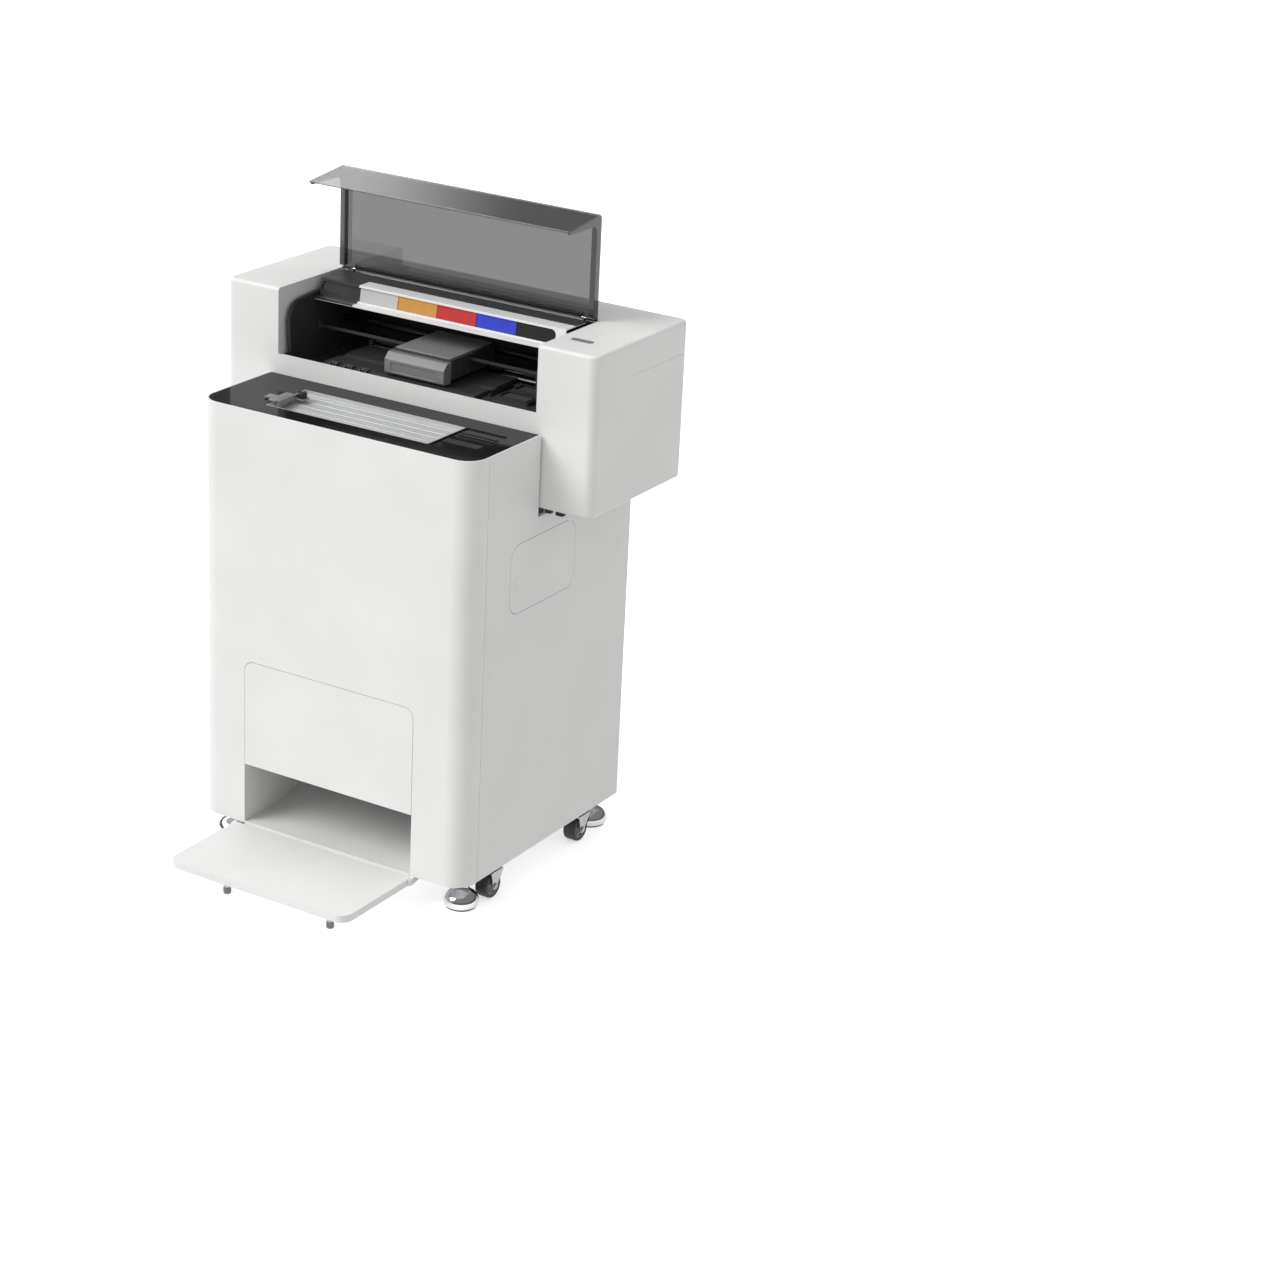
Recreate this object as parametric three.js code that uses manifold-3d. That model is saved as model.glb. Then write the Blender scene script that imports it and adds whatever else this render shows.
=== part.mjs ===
// Floor-standing film printer: a garment-film printer on top of a powder and curing cabinet.
// Millimetres, +Z up, +X to the right, the front faces -Y.
// Origin: on the floor, under the middle of the whole object's bounding box.
import * as THREE from 'three';
import { mergeVertices } from 'three/addons/utils/BufferGeometryUtils.js';
import Module from 'manifold-3d';

const wasm = await Module();
wasm.setup();

// ---------------------------------------------------------------- driving dimensions
const GAP = 0.4; // clearance between neighbouring pieces
const SEAM = 0.8; // visible shut line
const CABINET = {
  halfWidth: 300, front: -160, rear: 380, base: 60, deck: 722, top: 877,
  towerRear: 54, corner: 42, sheet: 3, seamY: -110,
};
const OUTLET = { centre: -4, halfWidth: 190, panelTop: 391, openingTop: 182, corner: 20 };
const CHUTE = { wall: 3, bendStart: -110, radius: 420, rear: 210, top: 262 };
const TRAY = {
  centre: -10, halfWidth: 201, front: -368, top: 60, thick: 14, corner: 24, rim: 3, pivotY: -168, pivotZ: 53,
};
const TRAY_LEG = { spread: 117, centre: 5, y: -317, radius: 7 };
const DOOR = { front: -32, rear: 185, bottom: 554, top: 688, corner: 30, pivotX: 297.5, pivotY: 150 };
const TOP_HOLE = { left: -183, right: 172, front: -114, rear: 6, driveRight: 262 };
const CASTER = { x: 280, frontY: -42, rearY: 262, wheelRadius: 25, wheelHalf: 13, trail: 10 };
const LEVELLER = { x: 262, frontY: -103, rearY: 346 };
const PRINTER = { halfWidth: 406, front: 58, rear: 380, bottom: 737, top: 1038, corner: 18, wall: 6 };
const PRINTER_FOOT = { x: 280, frontY: 78, rearY: 345, radius: 14 };
const NOTCH = { halfWidth: 285, sill: 912, rear: 262, rib: 6 };
const BED = { bottom: 880, top: 886, halfWidth: 284.6 };
const LINER = { inner: 273, outer: 278 };
const BAY = { halfWidth: 270.6, ledgeFront: 150, ledge: 1005, faceY: 166, top: 1038, rear: 236, lean: 5.5 };
const INK = {
  first: -270, pitch: 87, gap: 1.2, names: ['cleaner', 'white', 'yellow', 'magenta', 'cyan', 'black'],
};
const LID = {
  halfWidth: 282.5, hingeY: 255, hingeZ: 1040, outer: 259, top: 1236, tip: 146, thick: 3,
  bend: 10, lipDrop: 12, lipEnd: 20, frameWidth: 11, frameDepth: 15, frameFoot: 1046, foot: 1039,
};
const CARRIAGE = { left: -60, right: 71, front: 80, rear: 252, bottom: 922, top: 957, rodY: 264, rodZ: 940 };
const FILM_Z = 911; // height at which the film crosses the platen
const FILM_SLOT = { bottom: 971, top: 983 }; // gap between the two rear plates
const INLET = { x: -210, half: 15, bottom: 110, top: 170 };
const VENT = { rows: 7, pitch: 16, bottom: 560, height: 7, x: 150, halfWidth: 70 };
const ENTRY = { y: -104, z: 852, radius: 6 };
const GUIDE = { x: -172, y0: -92, y1: -26, z0: 871.5, z1: 880 };
const BUTTON = { x: 330, y: 131, halfLength: 23, radius: 7.5 };
const FEED = { half: 190, y: 236, z: FILM_Z - 8, radius: 8, pinchRadius: 4, pinchZ: FILM_Z + 4.4 };
const BELT = { x: 255, y: 291, radius: 7, thick: 1.4, z0: 930, z1: 936 };

// ---------------------------------------------------------------- colours
const WHITE = { color: 0xeeeeec, roughness: 0.45, metalness: 0 };
const SHADE_WHITE = { color: 0xe2e3e1, roughness: 0.5, metalness: 0 };
const GLOSS_BLACK = { color: 0x1b1b1c, roughness: 0.12, metalness: 0 };
const MATT_BLACK = { color: 0x151617, roughness: 0.6, metalness: 0 };
const RUBBER = { color: 0x101010, roughness: 0.85, metalness: 0 };
const CHROME = { color: 0xd2d4d6, roughness: 0.12, metalness: 1 };
const SILVER = { color: 0xc4c6c6, roughness: 0.3, metalness: 0.9 };
const GREY = { color: 0x8d8f8f, roughness: 0.5, metalness: 0 };
const SMOKE = { color: 0x555a5a, roughness: 0.08, metalness: 0 };
const ZINC = { color: 0xa7a9ab, roughness: 0.35, metalness: 0.9 };
const INK_COLORS = {
  cleaner: 0x4a4b4a, white: 0xc9cac8, yellow: 0xd0a050, magenta: 0xc84444, cyan: 0x3e4dcc, black: 0x2b2b2a,
};

// ---------------------------------------------------------------- geometry helpers
const UNIT = { x: new THREE.Vector3(1, 0, 0), y: new THREE.Vector3(0, 1, 0), z: new THREE.Vector3(0, 0, 1) };

function box(x0, x1, y0, y1, z0, z1) {
  const geometry = new THREE.BoxGeometry(x1 - x0, y1 - y0, z1 - z0);
  return geometry.translate((x0 + x1) / 2, (y0 + y1) / 2, (z0 + z1) / 2);
}

function outline(points) {
  return new THREE.Shape(points.map(([a, b]) => new THREE.Vector2(a, b)));
}

function extrude(shape, depth, curveSegments = 4) {
  return new THREE.ExtrudeGeometry(shape, { depth, bevelEnabled: false, curveSegments });
}

// A shape drawn in (y, z) and swept from x0 to x1.
function alongX(shape, x0, x1, curveSegments) {
  const basis = new THREE.Matrix4().makeBasis(UNIT.y, UNIT.z, UNIT.x);
  return extrude(shape, x1 - x0, curveSegments).applyMatrix4(basis).translate(x0, 0, 0);
}

// A shape drawn in (x, z) and swept from y0 to y1.
function alongY(shape, y0, y1, curveSegments) {
  const basis = new THREE.Matrix4().makeBasis(UNIT.x, UNIT.z, UNIT.y.clone().negate());
  return extrude(shape, y1 - y0, curveSegments).applyMatrix4(basis).translate(0, y1, 0);
}

// A shape drawn in (x, y) and swept from z0 to z1.
function alongZ(shape, z0, z1, curveSegments) {
  return extrude(shape, z1 - z0, curveSegments).translate(0, 0, z0);
}

// A rectangle from (a0, b0) to (a1, b1); each corner has its own radius, low-left first, anticlockwise.
function roundedRect(a0, b0, a1, b1, radii) {
  const [r0, r1, r2, r3] = Array.isArray(radii) ? radii : [radii, radii, radii, radii];
  const shape = new THREE.Shape();
  shape.moveTo(a0 + r0, b0);
  shape.lineTo(a1 - r1, b0);
  if (r1) shape.absarc(a1 - r1, b0 + r1, r1, -Math.PI / 2, 0, false);
  shape.lineTo(a1, b1 - r2);
  if (r2) shape.absarc(a1 - r2, b1 - r2, r2, 0, Math.PI / 2, false);
  shape.lineTo(a0 + r3, b1);
  if (r3) shape.absarc(a0 + r3, b1 - r3, r3, Math.PI / 2, Math.PI, false);
  shape.lineTo(a0, b0 + r0);
  if (r0) shape.absarc(a0 + r0, b0 + r0, r0, Math.PI, 1.5 * Math.PI, false);
  return shape;
}

// A profile of (radius, height) turned about the Z axis.
function turned(profile, segments = 20) {
  const points = profile.map(([r, h]) => new THREE.Vector2(r, h));
  return new THREE.LatheGeometry(points, segments).rotateX(Math.PI / 2);
}

// The same about the X axis, with heights running along +X.
function turnedX(profile, segments = 20) {
  return turned(profile, segments).rotateY(Math.PI / 2);
}

function rod(radius, x0, x1, y, z, segments = 16) {
  return turnedX([[0, x0], [radius, x0], [radius, x1], [0, x1]], segments).translate(0, y, z);
}

function post(radius, x, y, z0, z1, segments = 16) {
  return turned([[0, z0], [radius, z0], [radius, z1], [0, z1]], segments).translate(x, y, 0);
}

function toSolid(geometry) {
  const bare = geometry.clone();
  bare.deleteAttribute('normal');
  bare.deleteAttribute('uv');
  const merged = mergeVertices(bare, 1e-4);
  return new wasm.Manifold(new wasm.Mesh({
    numProp: 3,
    vertProperties: new Float32Array(merged.attributes.position.array),
    triVerts: new Uint32Array(merged.index.array),
  }));
}

function toGeometry(solid) {
  const mesh = solid.getMesh();
  const geometry = new THREE.BufferGeometry();
  geometry.setAttribute('position', new THREE.BufferAttribute(new Float32Array(mesh.vertProperties), 3));
  geometry.setIndex(new THREE.BufferAttribute(new Uint32Array(mesh.triVerts), 1));
  return geometry;
}

function join(first, ...others) {
  return toGeometry(others.reduce((sum, next) => sum.add(toSolid(next)), toSolid(first)));
}

function cut(first, ...tools) {
  return toGeometry(tools.reduce((rest, tool) => rest.subtract(toSolid(tool)), toSolid(first)));
}

const group = new THREE.Group();

function add(name, geometry, look, color) {
  const material = new THREE.MeshStandardMaterial({ ...look, color: color ?? look.color });
  const mesh = new THREE.Mesh(geometry, material);
  mesh.name = name;
  group.add(mesh);
  return mesh;
}

// ---------------------------------------------------------------- cabinet
// The fascia wraps round both front corners; its plan is a U of sheet.
function fasciaPlan() {
  const { halfWidth, front, corner, sheet, seamY } = CABINET;
  const shape = new THREE.Shape();
  const cx = halfWidth - corner;
  const cy = front + corner;
  const inner = corner - sheet;
  shape.moveTo(-halfWidth, seamY);
  shape.lineTo(-halfWidth, cy);
  shape.absarc(-cx, cy, corner, Math.PI, 1.5 * Math.PI, false);
  shape.absarc(cx, cy, corner, -Math.PI / 2, 0, false);
  shape.lineTo(halfWidth, seamY);
  shape.lineTo(halfWidth - sheet, seamY);
  shape.absarc(cx, cy, inner, 0, -Math.PI / 2, true);
  shape.absarc(-cx, cy, inner, 1.5 * Math.PI, Math.PI, true);
  shape.lineTo(sheet - halfWidth, seamY);
  return shape;
}

function frontFascia() {
  const { front, base, top } = CABINET;
  const { halfWidth, panelTop, corner } = OUTLET;
  const window = roundedRect(-halfWidth, base - 10, halfWidth, panelTop, [0, 0, corner, corner]);
  const opening = alongY(window, front - 5, front + 8).translate(OUTLET.centre, 0, 0);
  return cut(alongZ(fasciaPlan(), base, top, 5), opening);
}

// Flush panel over the film outlet, with its lower edge folded inwards.
function outletPanel() {
  const { front, sheet } = CABINET;
  const { halfWidth, panelTop, openingTop, corner } = OUTLET;
  const half = halfWidth - SEAM;
  const face = roundedRect(-half, openingTop, half, panelTop - SEAM, [0, 0, corner - SEAM, corner - SEAM]);
  const fold = box(-half, half, front, front + 22, openingTop, openingTop + sheet);
  return join(alongY(face, front, front + sheet), fold).translate(OUTLET.centre, 0, 0);
}

function sideOutline() {
  const { rear, base, deck, top, towerRear, seamY } = CABINET;
  const y0 = seamY + SEAM;
  return outline([[y0, base], [rear, base], [rear, deck], [towerRear, deck], [towerRear, top], [y0, top]]);
}

function sidePanelLeft() {
  const { halfWidth, sheet } = CABINET;
  return alongX(sideOutline(), -halfWidth, sheet - halfWidth);
}

function doorOutline(inset) {
  const { front, rear, bottom, top, corner } = DOOR;
  return roundedRect(front + inset, bottom + inset, rear - inset, top - inset, corner - inset);
}

// The right side has the service door's hole, and the two lugs and pin that the door pivots on.
function sidePanelRight() {
  const { halfWidth, sheet } = CABINET;
  const { pivotX, pivotY, bottom, top } = DOOR;
  const x0 = halfWidth - sheet;
  const plate = cut(alongX(sideOutline(), x0, halfWidth), alongX(doorOutline(0), x0 - 2, halfWidth + 2));
  const lugs = [bottom - 6, top + 1].map((z) => box(x0 - 8, x0 + 0.5, pivotY - 6, pivotY + 6, z, z + 5));
  return join(plate, ...lugs, post(1.5, pivotX, pivotY, bottom - 4, top + 4, 12));
}

// The leaf turns on a pin set in from its rear edge, so that its short end swings inwards.
function sideDoor() {
  const { halfWidth, sheet } = CABINET;
  const { pivotX, pivotY, bottom, top } = DOOR;
  const x0 = halfWidth - sheet;
  const boss = box(x0 - 3.5, x0 + 1, pivotY - 3.5, pivotY + 3.5, bottom + SEAM, top - SEAM);
  const leaf = join(alongX(doorOutline(SEAM), x0, halfWidth), boss);
  return cut(leaf, post(1.8, pivotX, pivotY, bottom, top, 12));
}

function rearPanel() {
  const { halfWidth, rear, base, deck, sheet } = CABINET;
  const half = halfWidth - sheet - GAP;
  const panel = box(-half, half, rear - sheet, rear, base, deck - sheet - GAP);
  const slots = [];
  for (let row = 0; row < VENT.rows; row += 1) {
    const z = VENT.bottom + row * VENT.pitch;
    for (const x of [-VENT.x, VENT.x]) {
      slots.push(box(x - VENT.halfWidth, x + VENT.halfWidth, rear - 10, rear + 10, z, z + VENT.height));
    }
  }
  const { x, half: inletHalf, bottom, top } = INLET;
  return cut(panel, ...slots, box(x - inletHalf, x + inletHalf, rear - 10, rear + 10, bottom, top));
}

// Appliance inlet below, rocker switch well above, in one snap-in housing.
function powerInlet() {
  const { rear } = CABINET;
  const { x, half, bottom, top } = INLET;
  const body = box(x - half + GAP, x + half - GAP, rear - 40, rear - 0.6, bottom + GAP, top - GAP);
  const socket = box(x - 12, x + 12, rear - 20, rear + 5, bottom + 6, bottom + 23);
  const well = box(x - 10, x + 10, rear - 16, rear + 5, top - 27, top - 5);
  return cut(body, socket, well);
}

function powerSwitch() {
  const { rear } = CABINET;
  const { x, top } = INLET;
  const z = top - 16;
  const rocker = outline([
    [rear - 12, z - 9], [rear - 2.5, z - 9.5], [rear - 5, z], [rear - 1.2, z + 9.5], [rear - 12, z + 9],
  ]);
  return alongX(rocker, x - 9, x + 9);
}

// One bent sheet: the deck under the printer and the wall up the back of the tower.
function deckPanel() {
  const { halfWidth, rear, deck, top, towerRear, sheet } = CABINET;
  const half = halfWidth - sheet - GAP;
  const wallTop = top - 8;
  return alongX(outline([
    [towerRear - sheet, deck - sheet], [rear, deck - sheet], [rear, deck],
    [towerRear, deck], [towerRear, wallTop], [towerRear - sheet, wallTop],
  ]), -half, half);
}

function basePlan() {
  const { halfWidth, front, rear, sheet, corner } = CABINET;
  const half = halfWidth - sheet - GAP;
  const y0 = front + sheet + GAP;
  const y1 = rear - sheet - GAP;
  const r = corner - sheet - GAP;
  const slot = OUTLET.halfWidth + CHUTE.wall + 2 * GAP;
  const slotLeft = OUTLET.centre - slot;
  const slotRight = OUTLET.centre + slot;
  const shape = new THREE.Shape();
  shape.moveTo(slotRight, y0);
  shape.lineTo(half - r, y0);
  shape.absarc(half - r, y0 + r, r, -Math.PI / 2, 0, false);
  shape.lineTo(half, y1);
  shape.lineTo(-half, y1);
  shape.absarc(r - half, y0 + r, r, Math.PI, 1.5 * Math.PI, false);
  shape.lineTo(slotLeft, y0);
  shape.lineTo(slotLeft, CHUTE.rear + 2);
  shape.lineTo(slotRight, CHUTE.rear + 2);
  return shape;
}

// Floor of the cabinet with a tab and a pin stub each side for the output tray.
function basePlate() {
  const { base } = CABINET;
  const { centre, halfWidth, pivotY, pivotZ } = TRAY;
  const tab = outline([
    [pivotY - 6, pivotZ - 6], [pivotY + 6, pivotZ - 6], [-120, base - 3], [-120, base + 1],
    [-154, base + 1], [-154, base - 0.6], [pivotY - 6, base - 0.6],
  ]);
  const pieces = [];
  for (const side of [-1, 1]) {
    const inner = centre + side * (halfWidth + 1);
    const outer = centre + side * (halfWidth + 5);
    const tip = centre + side * (halfWidth - 9);
    pieces.push(alongX(tab, Math.min(inner, outer), Math.max(inner, outer)));
    pieces.push(rod(2.5, Math.min(tip, outer), Math.max(tip, outer), pivotY, pivotZ, 12));
  }
  return join(alongZ(basePlan(), base, base + 6), ...pieces);
}

// Curved film ramp between two side walls.
function outputChute() {
  const { front, base, sheet } = CABINET;
  const { wall, bendStart, radius, rear, top } = CHUTE;
  const y0 = front + sheet + GAP;
  const z0 = base + 0.6;
  const half = OUTLET.halfWidth + wall;
  const sweep = Math.asin((rear - bendStart) / radius);
  const centreZ = z0 + wall + radius;
  const ramp = new THREE.Shape();
  ramp.moveTo(y0, z0);
  ramp.lineTo(bendStart, z0);
  ramp.absarc(bendStart, centreZ, radius + wall, -Math.PI / 2, -Math.PI / 2 + sweep, false);
  ramp.absarc(bendStart, centreZ, radius, -Math.PI / 2 + sweep, -Math.PI / 2, true);
  ramp.lineTo(y0, z0 + wall);
  const side = outline([[y0, z0], [rear, z0], [rear, top], [y0, top]]);
  const pieces = [alongX(side, -half, wall - half), alongX(side, half - wall, half)];
  const tie = box(-half, half, rear - 20, rear, top - wall, top);
  return join(alongX(ramp, -half, half, 10), ...pieces, tie).translate(OUTLET.centre, 0, 0);
}

function topPlan() {
  const { halfWidth, front, towerRear, sheet, corner } = CABINET;
  const half = halfWidth - sheet - GAP;
  const r = corner - sheet - GAP;
  const shape = roundedRect(-half, front + sheet + GAP, half, towerRear - GAP, [r, r, 0, 0]);
  const { left, right, rear } = TOP_HOLE;
  shape.holes.push(outline([[left, TOP_HOLE.front], [left, rear], [right, rear], [right, TOP_HOLE.front]]));
  return shape;
}

// Gloss black deck round the film entry, with the drive cover's shallow recess at the right.
function topPanel() {
  const { top } = CABINET;
  const { right, driveRight, front, rear } = TOP_HOLE;
  const recess = box(right + 3, driveRight, front, rear, top - 3, top + 5);
  const rib = box(right + 8, driveRight - 6, -64, -48, top - 4, top - 1);
  return join(cut(alongZ(topPlan(), top - 7, top - 0.6), recess), rib);
}

// Bright entry tray: a sloping floor, a front lip and two end walls that carry the entry roller.
function filmTrough() {
  const left = TOP_HOLE.left + GAP;
  const right = TOP_HOLE.right - GAP;
  const front = TOP_HOLE.front + GAP;
  const rear = TOP_HOLE.rear - GAP;
  const top = CABINET.top - 1;
  const floor = outline([
    [ENTRY.y + 8.5, 838], [ENTRY.y + 10.5, 838], [ENTRY.y + 10.5, 855], [rear, 868],
    [rear, top], [rear - 2, top], [rear - 2, 870], [ENTRY.y + 8.5, 857],
  ]);
  const frontWall = box(left, right, front, front + 2, 838, top);
  const pieces = [frontWall];
  for (const x of [left, right - 2]) pieces.push(box(x, x + 2, front, rear, 838, top));
  const body = join(alongX(floor, left, right), ...pieces);
  return cut(body, rod(2.8, left - 5, right + 5, ENTRY.y, ENTRY.z, 12));
}

function entryRoller() {
  const x0 = TOP_HOLE.left + 0.6;
  const x1 = TOP_HOLE.right - 0.6;
  return turnedX([
    [0, x0], [2.4, x0], [2.4, x0 + 4], [ENTRY.radius, x0 + 4],
    [ENTRY.radius, x1 - 4], [2.4, x1 - 4], [2.4, x1], [0, x1],
  ], 16).translate(0, ENTRY.y, ENTRY.z);
}

// Film edge guide that slides along the entry tray, and its clamp knob.
function filmGuide() {
  const { x, y0, y1, z0, z1 } = GUIDE;
  const fence = box(x - 3, x + 3, y0, y1, z0, z1);
  const foot = box(x - 5, x + 22, y1 - 18, y1, z0, z0 + 3);
  const arm = box(x - 36, x - 2, y0 + 8, y0 + 26, z1 - 2, z1 + 0.5);
  return join(fence, foot, arm);
}

function guideKnob() {
  const { x, y1, z0 } = GUIDE;
  const bottom = z0 + 3 + GAP;
  return turned([[0, bottom], [7.5, bottom], [8.5, bottom + 8], [7, bottom + 10], [0, bottom + 10]], 16)
    .translate(x + 13, y1 - 9, 0);
}

// V-shaped hopper that drops powder on the printed film as it goes by.
function powderHopper() {
  const walls = outline([
    [-92, 832], [-89, 832], [-62, 790], [-36, 790], [-9, 832], [-6, 832], [-33, 786], [-65, 786],
  ]);
  const x = 180;
  const end = outline([[-92, 832], [-65, 786], [-33, 786], [-6, 832]]);
  return join(alongX(walls, -x, x), alongX(end, -x, 3 - x), alongX(end, x - 3, x));
}

// Heater plate with a folded reflector behind the outlet panel.
function curingHeater() {
  const profile = outline([
    [-70, 420], [-66, 420], [-66, 740], [-100, 756], [-100, 752], [-70, 738],
  ]);
  const mount = CABINET.halfWidth - CABINET.sheet - GAP;
  const bar = box(-mount, mount, -66.5, -60, 560, 600);
  return join(alongX(profile, -190, 190), bar);
}

// ---------------------------------------------------------------- castors and levelling feet
// A squat domed pad that hides most of its stem.
function levellingFoot() {
  const top = CABINET.base - GAP;
  return turned([
    [0, 0], [27, 0], [31, 4], [33, 12], [31, 20], [25, 28], [17, 34], [13, 40], [12, top], [0, top],
  ], 20);
}

function casterWheel() {
  const { wheelRadius: r, wheelHalf: w } = CASTER;
  return turnedX([
    [3.4, -w], [9, -w], [10, -w + 2], [r - 7, -w + 2], [r - 6, -w], [r - 2, -w + 0.6], [r, -w + 3],
    [r, w - 3], [r - 2, w - 0.6], [r - 6, w], [r - 7, w - 2], [10, w - 2], [9, w], [3.4, w], [3.4, -w],
  ], 20);
}

// Fork, axle and swivel head, drawn about the wheel's centre with the swivel behind it.
function casterFork() {
  const { wheelRadius: r, wheelHalf: w, trail } = CASTER;
  const legIn = w + 1;
  const legOut = w + 3.5;
  const roof = r + 0.9;
  const leg = outline([
    [-6, -7], [6, -7], [trail + 16, roof], [trail + 16, roof + 3], [-12, roof + 3], [-12, roof],
  ]);
  const head = post(15, 0, trail, roof + 2, CABINET.base - r - GAP, 20);
  const cover = box(-legOut, legOut, -12, trail + 16, roof, roof + 3);
  const axle = rod(3, -legOut - 1.5, legOut + 1.5, 0, 0, 12);
  return join(cover, alongX(leg, -legOut, -legIn), alongX(leg, legIn, legOut), head, axle);
}

// ---------------------------------------------------------------- output tray
function outputTray() {
  const { centre, halfWidth, front, top, thick, corner, rim, pivotY, pivotZ } = TRAY;
  const plan = roundedRect(-halfWidth, front, halfWidth, pivotY, [corner, corner, 0, 0]);
  const inside = halfWidth - rim;
  const r = corner - rim;
  const hollow = roundedRect(-inside, front + rim, inside, pivotY - 12, [r, r, 0, 0]);
  const slab = cut(alongZ(plan, top - thick, top), alongZ(hollow, top - thick - 5, top - rim));
  const barrel = rod(thick / 2, -halfWidth, halfWidth, pivotY, pivotZ, 20);
  const legs = [-1, 1].map((side) => {
    const x = TRAY_LEG.centre + side * TRAY_LEG.spread - centre;
    return post(TRAY_LEG.radius, x, TRAY_LEG.y, 0, top - 2, 14);
  });
  const solid = join(slab, barrel, ...legs);
  const bores = [-halfWidth, halfWidth].map((x) => rod(2.8, x - 10, x + 10, pivotY, pivotZ, 12));
  return cut(solid, ...bores).translate(centre, 0, 0);
}

// ---------------------------------------------------------------- printer casing
function printerHousing() {
  const { halfWidth, front, rear, bottom, top, corner, wall } = PRINTER;
  const bevel = 7;
  const plan = roundedRect(
    bevel - halfWidth, front + bevel, halfWidth - bevel, rear - bevel, corner - bevel,
  );
  const shell = new THREE.ExtrudeGeometry(plan, {
    depth: top - bottom - 2 * bevel, bevelThickness: bevel, bevelSize: bevel,
    bevelSegments: 3, curveSegments: 4,
  }).translate(0, 0, bottom + bevel);
  const y0 = front + wall;
  const z0 = bottom + wall;
  const z1 = top - wall;
  const ribOut = NOTCH.halfWidth + NOTCH.rib;
  const centre = box(-NOTCH.halfWidth, NOTCH.halfWidth, y0, rear + 5, z0, z1);
  const leftBay = box(wall - halfWidth, -ribOut, y0, rear + 5, z0, z1);
  const rightBay = box(ribOut, halfWidth - wall, y0, rear + 5, z0, z1);
  const back = box(wall - halfWidth, halfWidth - wall, rear - 8, rear + 5, z0, z1);
  const notch = box(-NOTCH.halfWidth, NOTCH.halfWidth, front - 5, NOTCH.rear, NOTCH.sill, top + 5);
  const button = alongZ(buttonPlan(0), top - 20, top + 5, 4);
  return cut(shell, centre, leftBay, rightBay, back, notch, button);
}

function buttonPlan(inset) {
  const { x, y, halfLength, radius } = BUTTON;
  const r = radius - inset;
  return roundedRect(x - halfLength + inset, y - r, x + halfLength - inset, y + r, r - 0.01);
}

function powerButton() {
  const { top } = PRINTER;
  return alongZ(buttonPlan(GAP), top - 9, top + 0.8, 4);
}

// The rear opening is closed by two plates; the blank film is fed in through the gap between them.
function rearPlate(bottomZ, topZ) {
  const { halfWidth, rear, wall } = PRINTER;
  const half = halfWidth - wall - SEAM;
  return box(-half, half, rear - 6, rear - GAP, bottomZ, topZ);
}

function printerRearCover() {
  const { bottom, wall } = PRINTER;
  return rearPlate(bottom + wall + SEAM, FILM_SLOT.bottom);
}

function printerRearLintel() {
  const { top, wall } = PRINTER;
  return rearPlate(FILM_SLOT.top, top - wall - SEAM);
}

function printerFoot() {
  const bottom = CABINET.deck + GAP;
  const top = PRINTER.bottom - GAP;
  const r = PRINTER_FOOT.radius;
  return turned([[0, bottom], [r - 1, bottom], [r, bottom + 2], [r, top - 2], [r - 1, top], [0, top]], 16);
}

// ---------------------------------------------------------------- print chamber
function linerPlate() {
  const y0 = PRINTER.front + PRINTER.wall + GAP;
  const shape = new THREE.Shape();
  shape.moveTo(y0, BED.top - 1);
  shape.lineTo(y0, NOTCH.sill + GAP);
  shape.lineTo(PRINTER.front + 20, NOTCH.sill + GAP);
  shape.lineTo(PRINTER.front + 16, 975);
  shape.bezierCurveTo(78, 998, 88, 1009, 118, 1011);
  shape.lineTo(227, 1020);
  shape.lineTo(227, BED.top - 1);
  return shape;
}

// Floor of the print chamber with the roller bearings and the curved end plates.
function chamberLiner() {
  const y0 = PRINTER.front + PRINTER.wall + GAP;
  const y1 = PRINTER.rear - 9;
  const half = BED.halfWidth;
  const blocks = [];
  for (const side of [-1, 1]) {
    const a = side * (FEED.half + 1.5);
    const b = side * (FEED.half + 9);
    blocks.push(box(Math.min(a, b), Math.max(a, b), FEED.y - 10, FEED.y + 10, BED.top - 1, FEED.pinchZ + 3));
  }
  const { inner, outer } = LINER;
  const ends = [alongX(linerPlate(), -outer, -inner, 6), alongX(linerPlate(), inner, outer, 6)];
  const bed = join(box(-half, half, y0, y1, BED.bottom, BED.top), ...blocks, ...ends);
  const reach = FEED.half + 12;
  const bores = [[3.3, FEED.z], [1.9, FEED.pinchZ]].map(([r, z]) => rod(r, -reach, reach, FEED.y, z, 12));
  return cut(bed, ...bores);
}

function feedRoller() {
  const { half, radius } = FEED;
  return turnedX([
    [0, -half - 8], [3, -half - 8], [3, -half], [radius, -half],
    [radius, half], [3, half], [3, half + 8], [0, half + 8],
  ], 16).translate(0, FEED.y, FEED.z);
}

// Thin shaft with five wider rubber sleeves on it.
function pinchRoller() {
  const { half, pinchRadius } = FEED;
  const profile = [[0, -half - 8], [1.6, -half - 8]];
  for (let i = -2; i <= 2; i += 1) {
    const x = i * 80;
    profile.push([1.6, x - 15], [pinchRadius, x - 15], [pinchRadius, x + 15], [1.6, x + 15]);
  }
  profile.push([1.6, half + 8], [0, half + 8]);
  return turnedX(profile, 12).translate(0, FEED.y, FEED.pinchZ);
}

// Platen with a shallow spittoon groove under the heads.
function platen() {
  const profile = outline([
    [67, BED.top + GAP], [222, BED.top + GAP], [222, FILM_Z - 0.6], [150, FILM_Z - 0.6],
    [150, FILM_Z - 5], [128, FILM_Z - 5], [128, FILM_Z - 0.6], [81, FILM_Z - 0.6], [67, FILM_Z - 7],
  ]);
  return alongX(profile, -196, 140);
}

function cappingStation() {
  const base = box(147, 262, 70, 215, BED.top + GAP, FILM_Z - 6);
  const caps = [[100, 140], [150, 190]].map(([y0, y1]) => box(170, 240, y0, y1, FILM_Z - 7, FILM_Z + 1));
  const wells = [[104, 136], [154, 186]].map(([y0, y1]) => box(175, 235, y0, y1, FILM_Z - 3, FILM_Z + 5));
  return cut(join(base, ...caps), ...wells);
}

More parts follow.
